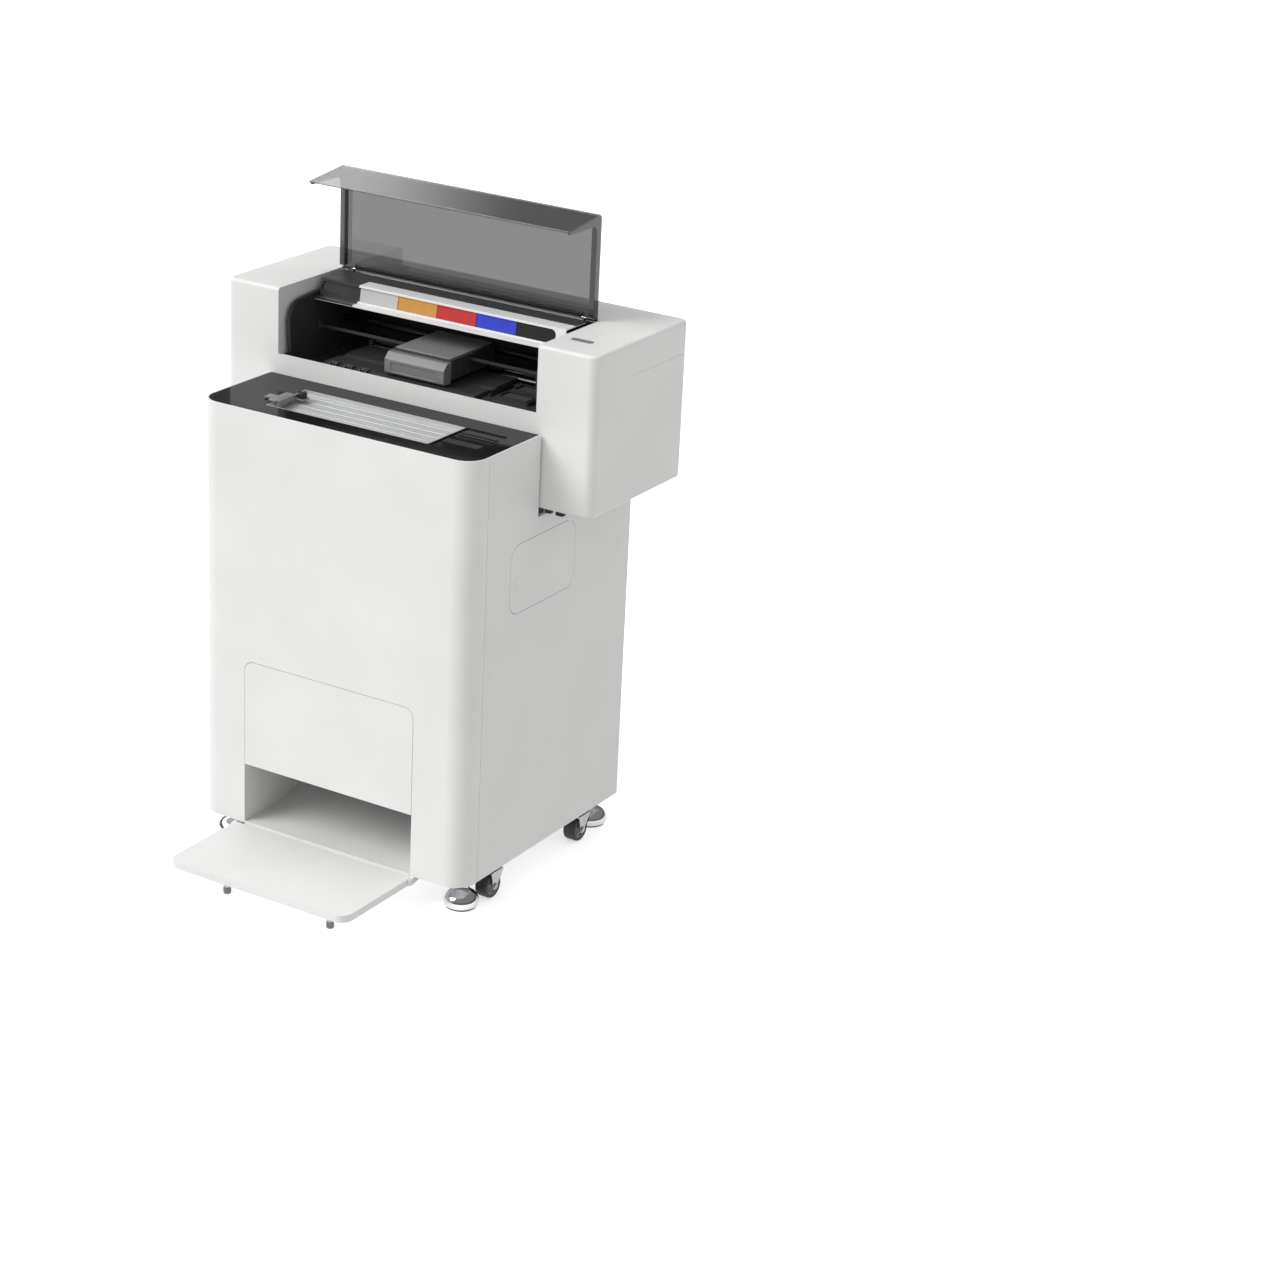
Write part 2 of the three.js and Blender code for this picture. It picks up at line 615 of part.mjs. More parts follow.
function carriageRod() {
  const half = NOTCH.halfWidth - GAP;
  return rod(6, -half, half, CARRIAGE.rodY, CARRIAGE.rodZ, 16);
}

// Carriage: body, bearing block round the rod, and the two print heads below.
function carriageBody() {
  const { left, right, front, rear, bottom, top, rodY, rodZ } = CARRIAGE;
  const body = box(left, right, front + 24, rear, bottom, top);
  const bearing = box(left + 10, right - 10, rear - 1, rodY + 11, rodZ - 11, rodZ + 11);
  const heads = [-40, 20].map((x) => box(x, x + 32, 105, 200, FILM_Z + 3, bottom + 1));
  return cut(join(body, bearing, ...heads), rod(6.4, left, right, rodY, rodZ, 16));
}

function carriageCap() {
  const { left, right, front } = CARRIAGE;
  const z0 = FILM_Z + 3;
  const z1 = CARRIAGE.top - 3;
  const side = outline([
    [front + 4, z0], [front + 24 - GAP, z0], [front + 24 - GAP, z1],
    [front + 12, z1], [front, z1 - 12], [front, z0 + 4],
  ]);
  return alongX(side, left, right);
}

// Toothed belt as a flat closed band round two pulleys at the ends of the travel.
function driveBelt() {
  const { x, y, radius, thick, z0, z1 } = BELT;
  const band = roundedRect(-x - radius, y - radius, x + radius, y + radius, radius - 0.01);
  const r = radius - thick;
  const hole = roundedRect(-x - r, y - r, x + r, y + r, r - 0.01);
  band.holes.push(new THREE.Path(hole.getPoints(6).reverse()));
  return alongZ(band, z0, z1, 6);
}

function beltPulley() {
  const r = BELT.radius - BELT.thick - GAP;
  const { z0, z1 } = BELT;
  return turned([
    [0, z0 - 3], [r + 3, z0 - 3], [r + 3, z0 - 1], [r, z0 - 1],
    [r, z1 + 1], [r + 3, z1 + 1], [r + 3, z1 + 3], [0, z1 + 3],
  ], 16);
}

function beltMotor() {
  const bottom = BED.top + GAP;
  const shaftTop = BELT.z0 - 3 - GAP;
  return turned([[0, bottom], [17, bottom], [17, 920], [5, 920], [5, shaftTop], [0, shaftTop]], 20);
}

// ---------------------------------------------------------------- ink bay
// Channel-shaped cover with one long window in its leaning front face.
function inkBayCover() {
  const { halfWidth, ledgeFront, ledge, faceY, top, rear, lean } = BAY;
  const channel = outline([
    [ledgeFront, ledge - 4.5], [rear, ledge - 4.5], [rear, ledge], [faceY + 2.6, ledge],
    [faceY + 2.6 + lean - 0.5, top - 2.5], [rear, top - 2.5], [rear, top], [faceY + lean, top],
    [faceY, ledge], [ledgeFront, ledge],
  ]);
  const x0 = INK.first + 2;
  const x1 = INK.first + INK.names.length * INK.pitch - 2;
  const window = roundedRect(x0, ledge + 3, x1, top - 4.5, 10);
  return cut(alongX(channel, -halfWidth, halfWidth), alongY(window, faceY - 10, faceY + 12, 5));
}

function inkTank(index) {
  const { ledge, faceY, top, rear, lean } = BAY;
  const x0 = INK.first + index * INK.pitch;
  const z0 = ledge + GAP;
  const z1 = top - 2.5 - GAP;
  const side = outline([[faceY + 3.2, z0], [rear - 1, z0], [rear - 1, z1], [faceY + 3.2 + lean - 0.6, z1]]);
  return alongX(side, x0 + INK.gap / 2, x0 + INK.pitch - INK.gap / 2);
}

// Dark beam behind the ink bay, with an ear and a pin at each end for the lid.
function lidHingeRail() {
  const { hingeY, hingeZ } = LID;
  const beam = roundedRect(BAY.rear + 1, 1002, 249, 1037, [0, 0, 3, 3]);
  const pieces = [];
  for (const side of [-1, 1]) {
    const span = (a, b) => [Math.min(side * a, side * b), Math.max(side * a, side * b)];
    const ear = outline([
      [240, 1010], [248, 1010], [hingeY + 0.6, hingeZ - 5], [hingeY + 0.6, hingeZ + 0.6],
      [hingeY - 4, hingeZ + 0.6], [hingeY - 8, 1034], [240, 1034],
    ]);
    pieces.push(alongX(ear, ...span(255, 259)));
    pieces.push(rod(1.5, ...span(257, LID.halfWidth - 4), hingeY, hingeZ, 12));
  }
  return join(alongX(beam, -BAY.halfWidth, BAY.halfWidth, 3), ...pieces);
}

// ---------------------------------------------------------------- lid
// Drawn open: the panel stands up and the lip slopes forwards.
function lidSheet() {
  const { outer, top, tip, thick, bend, lipDrop, foot } = LID;
  const shape = new THREE.Shape();
  const cy = outer - bend;
  const cz = top - bend;
  shape.moveTo(outer, foot);
  shape.lineTo(outer, cz);
  shape.absarc(cy, cz, bend, 0, Math.PI / 2, false);
  shape.lineTo(tip, top - lipDrop);
  shape.lineTo(tip, top - lipDrop - thick);
  shape.lineTo(cy, top - thick);
  shape.absarc(cy, cz, bend - thick, Math.PI / 2, 0, true);
  shape.lineTo(outer - thick, foot);
  return shape;
}

// The edge frame beside the panel, in (y, z).
function lidFrame() {
  const { outer, top, frameDepth, frameFoot } = LID;
  return outline([
    [outer - 1, frameFoot], [outer - 1, top - 14], [outer - 14, top - 5],
    [outer - frameDepth - 10, top - 12], [outer - frameDepth, top - 24], [outer - frameDepth, frameFoot],
  ]);
}

// The thin plate that closes each end of the lip.
function lipEnd() {
  const { outer, top, tip, lipDrop, lipEnd: depth } = LID;
  return outline([
    [outer - 4, top - 40], [outer - 4, top - 8], [outer - 10, top - 2],
    [tip + 2, top - lipDrop - 1], [tip + 6, top - depth], [outer - 26, top - depth], [outer - 15, top - 40],
  ]);
}

function lid() {
  const { halfWidth, thick, frameWidth, hingeY, hingeZ } = LID;
  const knuckle = 262;
  const pieces = [];
  const bores = [];
  for (const side of [-1, 1]) {
    const across = (a, b) => [Math.min(side * a, side * b), Math.max(side * a, side * b)];
    pieces.push(alongX(lidFrame(), ...across(halfWidth - frameWidth, halfWidth)));
    pieces.push(alongX(lipEnd(), ...across(halfWidth - thick, halfWidth)));
    pieces.push(rod(3, ...across(knuckle - 1, halfWidth), hingeY, hingeZ, 16));
    bores.push(rod(1.8, ...across(knuckle - 12, halfWidth + 5), hingeY, hingeZ, 12));
  }
  return cut(join(alongX(lidSheet(), -halfWidth, halfWidth, 6), ...pieces), ...bores);
}

// ---------------------------------------------------------------- assembly
add('base_plate', basePlate(), ZINC);
add('front_fascia', frontFascia(), WHITE);
add('outlet_panel', outletPanel(), WHITE);
add('side_panel_left', sidePanelLeft(), SHADE_WHITE);
add('side_panel_right', sidePanelRight(), SHADE_WHITE);
add('side_door', sideDoor(), SHADE_WHITE);
add('rear_panel', rearPanel(), SHADE_WHITE);
add('deck_panel', deckPanel(), SHADE_WHITE);
add('top_panel', topPanel(), GLOSS_BLACK);
add('power_inlet', powerInlet(), MATT_BLACK);
add('power_switch', powerSwitch(), MATT_BLACK);
add('output_chute', outputChute(), SHADE_WHITE);
add('output_tray', outputTray(), WHITE);
add('film_trough', filmTrough(), SILVER);
add('entry_roller', entryRoller(), CHROME);
add('film_guide', filmGuide(), GREY);
add('guide_knob', guideKnob(), MATT_BLACK);
add('powder_hopper', powderHopper(), SILVER);
add('curing_heater', curingHeater(), SILVER);

for (const [row, y] of [['front', CASTER.frontY], ['rear', CASTER.rearY]]) {
  for (const [hand, side] of [['left', -1], ['right', 1]]) {
    const centre = [side * CASTER.x, y, CASTER.wheelRadius];
    add(`caster_fork_${row}_${hand}`, casterFork(), ZINC).position.set(...centre);
    add(`caster_wheel_${row}_${hand}`, casterWheel(), RUBBER).position.set(...centre);
  }
}
for (const [row, y] of [['front', LEVELLER.frontY], ['rear', LEVELLER.rearY]]) {
  for (const [hand, side] of [['left', -1], ['right', 1]]) {
    add(`levelling_foot_${row}_${hand}`, levellingFoot(), CHROME).position.set(side * LEVELLER.x, y, 0);
  }
}

add('printer_housing', printerHousing(), WHITE);
add('printer_rear_cover', printerRearCover(), WHITE);
add('printer_rear_lintel', printerRearLintel(), WHITE);
for (const [row, y] of [['front', PRINTER_FOOT.frontY], ['rear', PRINTER_FOOT.rearY]]) {
  for (const [hand, side] of [['left', -1], ['right', 1]]) {
    add(`printer_foot_${row}_${hand}`, printerFoot(), RUBBER).position.set(side * PRINTER_FOOT.x, y, 0);
  }
}
add('power_button', powerButton(), GREY);
add('chamber_liner', chamberLiner(), MATT_BLACK);
add('platen', platen(), MATT_BLACK);
add('feed_roller', feedRoller(), ZINC);
add('pinch_roller', pinchRoller(), RUBBER);
add('capping_station', cappingStation(), MATT_BLACK);
add('carriage_rod', carriageRod(), CHROME);
add('carriage_body', carriageBody(), MATT_BLACK);
add('carriage_cap', carriageCap(), GREY);
add('drive_belt', driveBelt(), RUBBER);
add('drive_pulley', beltPulley(), ZINC).position.set(BELT.x, BELT.y, 0);
add('idler_pulley', beltPulley(), ZINC).position.set(-BELT.x, BELT.y, 0);
add('belt_motor', beltMotor(), MATT_BLACK).position.set(BELT.x, BELT.y, 0);
add('ink_bay_cover', inkBayCover(), WHITE);
INK.names.forEach((name, index) => {
  add(`ink_tank_${name}`, inkTank(index), { roughness: 0.2 }, INK_COLORS[name]);
});
add('lid_hinge_rail', lidHingeRail(), MATT_BLACK);
add('lid', lid(), SMOKE);

export default group;
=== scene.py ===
"""Looks for a wide film printer that stands on a powder and curing cabinet.

Lengths are millimetres in the code and become metres where a mesh is made.
+X is the machine's right, the front faces -Y and the floor is at Z = 0.
"""
import math

import bmesh
import bpy
from mathutils import Matrix, Vector

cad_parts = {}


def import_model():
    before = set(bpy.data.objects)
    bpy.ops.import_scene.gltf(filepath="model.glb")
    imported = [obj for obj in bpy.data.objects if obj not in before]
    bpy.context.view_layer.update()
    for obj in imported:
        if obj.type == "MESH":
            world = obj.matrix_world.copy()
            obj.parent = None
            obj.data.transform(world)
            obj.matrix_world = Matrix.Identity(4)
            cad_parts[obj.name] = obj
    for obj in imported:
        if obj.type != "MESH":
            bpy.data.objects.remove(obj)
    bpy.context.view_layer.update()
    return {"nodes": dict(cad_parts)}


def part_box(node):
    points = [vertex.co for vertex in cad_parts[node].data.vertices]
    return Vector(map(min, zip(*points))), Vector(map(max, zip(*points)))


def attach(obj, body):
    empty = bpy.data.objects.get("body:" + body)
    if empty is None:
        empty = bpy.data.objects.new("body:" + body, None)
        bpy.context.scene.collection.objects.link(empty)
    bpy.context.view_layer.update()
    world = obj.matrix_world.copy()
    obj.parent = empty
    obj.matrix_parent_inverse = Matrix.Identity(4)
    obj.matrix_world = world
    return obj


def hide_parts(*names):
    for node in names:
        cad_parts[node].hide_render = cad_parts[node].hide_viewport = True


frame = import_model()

MM = 0.001


# ---- the CAD frame
def span(node):
    """Lowest and highest corner of a CAD node in millimetres."""
    low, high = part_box(node)
    return low / MM, high / MM


def middle(node):
    """Centre of a CAD node's box in millimetres."""
    return [(a + b) / 2 for a, b in zip(*span(node))]


def mirrored(side, a, b, centre=0):
    """Two distances to one side of a centre, lower place first."""
    return sorted((centre + side * a, centre + side * b))


# ---- outlines
def arc(cx, cy, radius, start, end, steps):
    """Points on an arc, angles in degrees."""
    turn = [math.radians(start + (end - start) * i / steps) for i in range(steps + 1)]
    return [(cx + radius * math.cos(t), cy + radius * math.sin(t)) for t in turn]


def rounded(a0, b0, a1, b1, radii, steps=8):
    """Rectangle outline; radii for its corners, low-left first, anticlockwise."""
    if not isinstance(radii, (list, tuple)):
        radii = [radii] * 4
    centres = [(a0, b0, 1, 1), (a1, b0, -1, 1), (a1, b1, -1, -1), (a0, b1, 1, -1)]
    points = []
    for (a, b, sa, sb), radius, start in zip(centres, radii, (180, 270, 0, 90)):
        if radius:
            points += arc(a + sa * radius, b + sb * radius, radius, start, start + 90, steps)
        else:
            points.append((a, b))
    return points


def at(axis, a, b, c):
    """Outline point (a, b) at height c along an axis."""
    return {"x": (c, a, b), "y": (a, c, b), "z": (a, b, c)}[axis]


# ---- mesh helpers
def to_object(name, bm):
    bmesh.ops.recalc_face_normals(bm, faces=bm.faces)
    mesh = bpy.data.meshes.new(name)
    bm.to_mesh(mesh)
    bm.free()
    obj = bpy.data.objects.new(name, mesh)
    bpy.context.collection.objects.link(obj)
    return obj


def prism(name, outline, axis, low, high):
    """Closed solid: an outline swept along an axis."""
    bm = bmesh.new()
    rings = [[bm.verts.new(Vector(at(axis, a, b, c)) * MM) for a, b in outline] for c in (low, high)]
    bm.faces.new(rings[0])
    bm.faces.new(reversed(rings[1]))
    count = len(outline)
    for i in range(count):
        j = (i + 1) % count
        bm.faces.new((rings[0][i], rings[0][j], rings[1][j], rings[1][i]))
    return to_object(name, bm)


def block(name, x0, x1, y0, y1, z0, z1, radius=0, axis="z"):
    """Rectangular solid whose edges along one axis may be rounded."""
    limits = {"x": (y0, z0, y1, z1, x0, x1), "y": (x0, z0, x1, z1, y0, y1), "z": (x0, y0, x1, y1, z0, z1)}
    a0, b0, a1, b1, c0, c1 = limits[axis]
    return prism(name, rounded(a0, b0, a1, b1, radius), axis, c0, c1)


def fill(name, node, radius=0, axis="z"):
    """Rectangular solid over the whole box of a CAD node."""
    low, high = span(node)
    return block(name, low.x, high.x, low.y, high.y, low.z, high.z, radius, axis)


def lathe(name, profile, axis, centre, segments):
    """Solid of revolution from (radius, height) pairs, about an axis through centre."""
    bm = bmesh.new()
    rings = []
    for radius, height in profile:
        steps = segments if radius > 0 else 1
        ring = []
        for i in range(steps):
            turn = 2 * math.pi * i / segments
            a, b = radius * math.cos(turn), radius * math.sin(turn)
            ring.append(bm.verts.new((Vector(at(axis, a, b, height)) + Vector(centre)) * MM))
        rings.append(ring)
    closed = profile[0][0] > 0
    pairs = list(zip(rings, rings[1:])) + ([(rings[-1], rings[0])] if closed else [])
    for lower, upper in pairs:
        for i in range(segments):
            j = (i + 1) % segments
            corners = [lower[i % len(lower)], lower[j % len(lower)]]
            corners += [upper[j % len(upper)], upper[i % len(upper)]]
            unique = list(dict.fromkeys(corners))
            if len(unique) > 2:
                bm.faces.new(unique)
    return to_object(name, bm)


def rod(name, radius, low, high, axis, centre, segments):
    """Plain cylinder between two places along an axis."""
    return lathe(name, [(0, low), (radius, low), (radius, high), (0, high)], axis, centre, segments)


def tube(name, path, radius, sides):
    """Round bar along a list of points."""
    points = [Vector(p) for p in path]
    bm = bmesh.new()
    rings = []
    normal = None
    for i, point in enumerate(points):
        tangent = (points[min(i + 1, len(points) - 1)] - points[max(i - 1, 0)]).normalized()
        side = normal or (Vector((0, 0, 1)) if abs(tangent.z) < 0.9 else Vector((1, 0, 0)))
        normal = (side - tangent * side.dot(tangent)).normalized()
        other = tangent.cross(normal)
        ring = []
        for k in range(sides):
            turn = 2 * math.pi * k / sides
            spoke = normal * math.cos(turn) + other * math.sin(turn)
            ring.append(bm.verts.new((point + spoke * radius) * MM))
        rings.append(ring)
    bm.faces.new(rings[0])
    bm.faces.new(rings[-1])
    for lower, upper in zip(rings, rings[1:]):
        for k in range(sides):
            j = (k + 1) % sides
            bm.faces.new((lower[k], lower[j], upper[j], upper[k]))
    return to_object(name, bm)


def bake(obj):
    """Applies every modifier."""
    depsgraph = bpy.context.evaluated_depsgraph_get()
    depsgraph.update()
    mesh = bpy.data.meshes.new_from_object(obj.evaluated_get(depsgraph))
    old = obj.data
    obj.modifiers.clear()
    obj.data = mesh
    bpy.data.meshes.remove(old)


def combine(target, operation, tools):
    for tool in tools:
        modifier = target.modifiers.new("combine", "BOOLEAN")
        modifier.operation = operation
        modifier.solver = "EXACT"
        modifier.object = tool
        bake(target)
        mesh = tool.data
        bpy.data.objects.remove(tool)
        bpy.data.meshes.remove(mesh)
    return target


def cut(target, *tools):
    return combine(target, "DIFFERENCE", tools)


def weld(target, *tools):
    return combine(target, "UNION", tools)


def merge(name, objects):
    """One object from several separate solids."""
    bm = bmesh.new()
    for obj in objects:
        bm.from_mesh(obj.data)
        mesh = obj.data
        bpy.data.objects.remove(obj)
        bpy.data.meshes.remove(mesh)
    mesh = bpy.data.meshes.new(name)
    bm.to_mesh(mesh)
    bm.free()
    obj = bpy.data.objects.new(name, mesh)
    bpy.context.collection.objects.link(obj)
    return obj


def soften(obj, width, segments):
    """Rounds every sharp edge and shades the flats flat."""
    sharp = 32
    obj.data.shade_smooth()
    bevel = obj.modifiers.new("soften", "BEVEL")
    bevel.width = width * MM
    bevel.segments = segments
    bevel.limit_method = "ANGLE"
    bevel.angle_limit = math.radians(sharp)
    weights = obj.modifiers.new("flats", "WEIGHTED_NORMAL")
    weights.weight = 100
    weights.keep_sharp = True
    bake(obj)


def place(obj, look, slot, *nodes, body="cabinet", soft=None):
    """Gives a piece its look and body, and hides the CAD nodes that it stands for.

    soft is the width and the number of steps of the rounding of its edges; slot is not used.
    """
    smooth_below = 40
    if soft:
        soften(obj, *soft)
    obj.data.materials.clear()
    obj.data.materials.append(LOOKS[look])
    if not obj.data.has_custom_normals:
        obj.data.shade_smooth()
        obj.data.set_sharp_from_angle(angle=math.radians(smooth_below))
    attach(obj, body)
    if nodes:
        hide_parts(*nodes)


# ---- materials
# The part of the noise's range that the blends stretch over.
SPREAD = (0.3, 0.7)


def shader(name):
    material = bpy.data.materials.new(name)
    material.use_nodes = True
    tree = material.node_tree
    return material, tree, tree.nodes["Principled BSDF"]


def set_sockets(node, values):
    for socket, value in values.items():
        node.inputs[socket].default_value = value


def noise(tree, scale, detail, stretch=(1, 1, 1)):
    """Noise in the object's own space; scale is in cycles per metre."""
    coordinates = tree.nodes.new("ShaderNodeTexCoord")
    mapping = tree.nodes.new("ShaderNodeMapping")
    mapping.inputs["Scale"].default_value = stretch
    texture = tree.nodes.new("ShaderNodeTexNoise")
    set_sockets(texture, {"Scale": scale, "Detail": detail, "Roughness": 0.5})
    tree.links.new(coordinates.outputs["Object"], mapping.inputs["Vector"])
    tree.links.new(mapping.outputs["Vector"], texture.inputs["Vector"])
    return texture.outputs["Fac"]


def blend_colors(tree, factor, dark, light):
    node = tree.nodes.new("ShaderNodeValToRGB")
    for stop, where, color in zip(node.color_ramp.elements, SPREAD, (dark, light)):
        stop.position = where
        stop.color = (*color, 1)
    tree.links.new(factor, node.inputs["Fac"])
    return node.outputs["Color"]


def ramp(tree, value, start, end, low, high):
    node = tree.nodes.new("ShaderNodeMapRange")
    set_sockets(node, {"From Min": start, "From Max": end, "To Min": low, "To Max": high})
    tree.links.new(value, node.inputs["Value"])
    return node


def between(tree, factor, low, high):
    return ramp(tree, factor, *SPREAD, low, high).outputs["Result"]


def finish_surface(name, color, roughness, *, metallic=0.0, tint=0.03, tint_scale=6, spread=0.04, grain=900,
                   depth=0.00003, stretch=(1, 1, 1), coat=0.0, specular=0.5):
    """Solid surface with cloudy colour, patchy gloss and a fine grain."""
    material, tree, bsdf = shader(name)
    dark = [c * (1 - tint) for c in color]
    light = [min(1.0, c * (1 + tint)) for c in color]
    clouds = noise(tree, tint_scale, 5)
    tree.links.new(blend_colors(tree, clouds, dark, light), bsdf.inputs["Base Color"])
    patches = noise(tree, tint_scale * 7, 4, stretch)
    gloss = between(tree, patches, max(0.02, roughness - spread), roughness + spread)
    tree.links.new(gloss, bsdf.inputs["Roughness"])
    bump = tree.nodes.new("ShaderNodeBump")
    bump.inputs["Strength"].default_value = 1.0
    bump.inputs["Distance"].default_value = depth
    tree.links.new(noise(tree, grain, 3, stretch), bump.inputs["Height"])
    tree.links.new(bump.outputs["Normal"], bsdf.inputs["Normal"])
    set_sockets(bsdf, {"Metallic": metallic, "Specular IOR Level": specular, "Coat Weight": coat,
                       "Coat Roughness": 0.06})
    return material


def smoked(name, color, alpha, roughness=0.04):
    """See-through tinted sheet: the slab's two faces each let part of the light by."""
    material, tree, bsdf = shader(name)
    haze = noise(tree, 12, 4)
    tree.links.new(blend_colors(tree, haze, color, [c * 1.25 for c in color]), bsdf.inputs["Base Color"])
    tree.links.new(between(tree, noise(tree, 60, 4), roughness, roughness + 0.03), bsdf.inputs["Roughness"])
    set_sockets(bsdf, {"Alpha": alpha, "Coat Weight": 0.5, "Coat Roughness": 0.03})
    return material


# What several looks share: brushed metal's grain runs along or across X, paint's is very fine.
ALONG_X = {"stretch": (1, 60, 60), "depth": 0.00001}
ROUND_X = {"stretch": (60, 1, 1), "grain": 200, "depth": 0.00001}
PAINT = {"grain": 1400, "depth": 0.00002, "specular": 0.16}
PLASTIC = {"grain": 2200, "depth": 0.000015}

# Colour, roughness and whatever else sets a solid look apart.
SOLIDS = {
    "white_paint": ((0.80, 0.80, 0.79), 0.42, PAINT),
    # shade_paint is white_paint a touch darker and rougher, for the sides, back, deck, door and chute: the
    # darkening is painted shade.
    "shade_paint": ((0.79, 0.79, 0.78), 0.45, PAINT),
    "white_plastic": ((0.81, 0.81, 0.80), 0.38, {**PLASTIC, "specular": 0.2}),
    "gloss_black": ((0.010, 0.010, 0.010), 0.1, {"spread": 0.02, "depth": 0, "specular": 0.1}),
    "matt_black": ((0.018, 0.019, 0.019), 0.5, {"tint": 0.15, "grain": 2500}),
    "dark_body": ((0.035, 0.038, 0.038), 0.42, {"tint": 0.12, "grain": 2500}),
    "liner_black": ((0.034, 0.037, 0.036), 0.5, {"tint": 0.15, "grain": 2500, "specular": 0.4}),
    "dark_steel": ((0.10, 0.10, 0.105), 0.3, {**ROUND_X, "metallic": 1}),
    "rubber": ((0.014, 0.014, 0.014), 0.72, {"tint": 0.2, "grain": 1800, "depth": 0.00005}),
    "tyre": ((0.03, 0.03, 0.031), 0.55, {"tint": 0.2, "grain": 900, "depth": 0.00006}),
    "chrome": ((0.66, 0.67, 0.68), 0.08, {"metallic": 1, "depth": 0.000004}),
    "silver": ((0.57, 0.58, 0.58), 0.45, {**ALONG_X, "metallic": 0.3, "grain": 300}),
    "zinc": ((0.42, 0.43, 0.44), 0.32, {"metallic": 1, "tint": 0.1, "tint_scale": 60, "grain": 500}),
    "steel": ((0.55, 0.56, 0.57), 0.2, {**ROUND_X, "metallic": 1}),
    "grey_plastic": ((0.22, 0.23, 0.225), 0.4, {"tint": 0.05, "grain": 2200}),
    "pale_grey": ((0.17, 0.173, 0.17), 0.38, {"tint": 0.04, "grain": 2200}),
    "soft_grey": ((0.07, 0.072, 0.07), 0.45, {"tint": 0.06, "grain": 2200}),
    "tray_white": ((0.82, 0.82, 0.81), 0.4, {**PLASTIC, "specular": 0.16}),
    "guide_grey": ((0.24, 0.25, 0.24), 0.4, {"tint": 0.06, "grain": 2000}),
    "foam": ((0.045, 0.046, 0.045), 0.9, {"tint": 0.12, "tint_scale": 80, "grain": 700, "depth": 0.0004}),
    "copper_red": ((0.42, 0.03, 0.025), 0.35, {"tint": 0.1}),
}
INKS = {
    # The cleaner window's near-black colour is painted shade, the shade that falls over the left end of the
    # bay.
    "cleaner": (0.045, 0.046, 0.045), "white": (0.55, 0.56, 0.55), "yellow": (0.62, 0.32, 0.075),
    "magenta": (0.56, 0.045, 0.045), "cyan": (0.04, 0.065, 0.60), "black": (0.022, 0.022, 0.022),
}
GLOSSY_INK = {"tint": 0.06, "tint_scale": 40, "grain": 1500, "depth": 0.00001, "coat": 0.6}
SOLIDS.update({"ink_" + ink: (tone, 0.16, GLOSSY_INK) for ink, tone in INKS.items()})

LOOKS = {name: finish_surface(name, tone, rough, **rest) for name, (tone, rough, rest) in SOLIDS.items()}
LOOKS["smoked_lid"] = smoked("smoked_lid", (0.012, 0.013, 0.013), 0.66)
LOOKS["smoked_frame"] = smoked("smoked_frame", (0.016, 0.017, 0.017), 0.8)


# ---- cabinet shell
def cabinet_sizes():
    low, high = span("front_fascia")
    rear = span("rear_panel")[1].y
    deck = span("deck_panel")
    return {
        "half": high.x, "front": low.y, "seam": high.y, "base": low.z, "top": high.z, "rear": rear,
        "corner": 42.0, "sheet": 3.0, "deck": span("printer_foot_rear_left")[0].z, "back": deck[0].y + 3.0,
    }


CAB = cabinet_sizes()
# Where the service door's pin stands, in plan.
DOOR_PIVOT = (297.5, 150.0)


def u_plan(inset, back):
    """Plan of the wrap-round front at an inset from its outer face, open to the rear."""
    half, front, corner = CAB["half"] - inset, CAB["front"] + inset, CAB["corner"] - inset
    left = arc(corner - half, front + corner, corner, 180, 270, 20)
    right = arc(half - corner, front + corner, corner, 270, 360, 20)
    return [(-half, back)] + left + right + [(half, back)]


def front_fascia():
    ring = u_plan(0, CAB["seam"]) + u_plan(CAB["sheet"], CAB["seam"])[::-1]
    shell = prism("front_fascia_skin", ring, "z", CAB["base"], CAB["top"])
    low, high = span("outlet_panel")
    window = rounded(low.x - 0.8, CAB["base"] - 10, high.x + 0.8, high.z + 0.8, [0, 0, 20, 20], 12)
    cut(shell, prism("window", window, "y", CAB["front"] - 5, CAB["front"] + 8))
    place(shell, "white_paint", "white_paint", "front_fascia", soft=(0.7, 3))


def outlet_panel():
    low, high = span("outlet_panel")
    face = rounded(low.x, low.z, high.x, high.z, [0, 0, 19.2, 19.2], 12)
    panel = prism("outlet_panel_skin", face, "y", low.y, low.y + 3)
    weld(panel, block("fold", low.x, high.x, low.y + 0.5, high.y, low.z, low.z + 3))
    place(panel, "white_paint", "white_paint", "outlet_panel", soft=(0.9, 3))


def side_outline():
    low, high = span("side_panel_left")
    return [(low.y, low.z), (high.y, low.z), (high.y, CAB["deck"]), (CAB["back"], CAB["deck"]),
            (CAB["back"], high.z), (low.y, high.z)]


def side_panels():
    low, high = span("side_panel_left")
    left = prism("side_sheet_left", side_outline(), "x", low.x, low.x + 3)
    place(left, "shade_paint", "shade_paint", "side_panel_left", soft=(0.7, 3))
    low, high = span("side_panel_right")
    right = prism("side_sheet_right", side_outline(), "x", high.x - 3, high.x)
    door_low, door_high = span("side_door")
    hole = rounded(door_low.y - 0.8, door_low.z - 0.8, door_high.y + 0.8, door_high.z + 0.8, 30, 12)
    cut(right, prism("hole", hole, "x", high.x - 8, high.x + 5))
    place(right, "shade_paint", "shade_paint", "side_panel_right", soft=(0.7, 3))
    lugs = []
    for z in (door_low.z - 6.8, door_high.z + 1.8):
        lugs.append(block("lug", high.x - 11, high.x - 3.2, DOOR_PIVOT[1] - 6, DOOR_PIVOT[1] + 6, z, z + 5))
    pin_low, pin_high = door_low.z - 4.8, door_high.z + 4.8
    lugs.append(rod("pin", 1.5, pin_low, pin_high, "z", (*DOOR_PIVOT, 0), 16))
    place(merge("door_hinge_pin", lugs), "zinc", "zinc_plate")


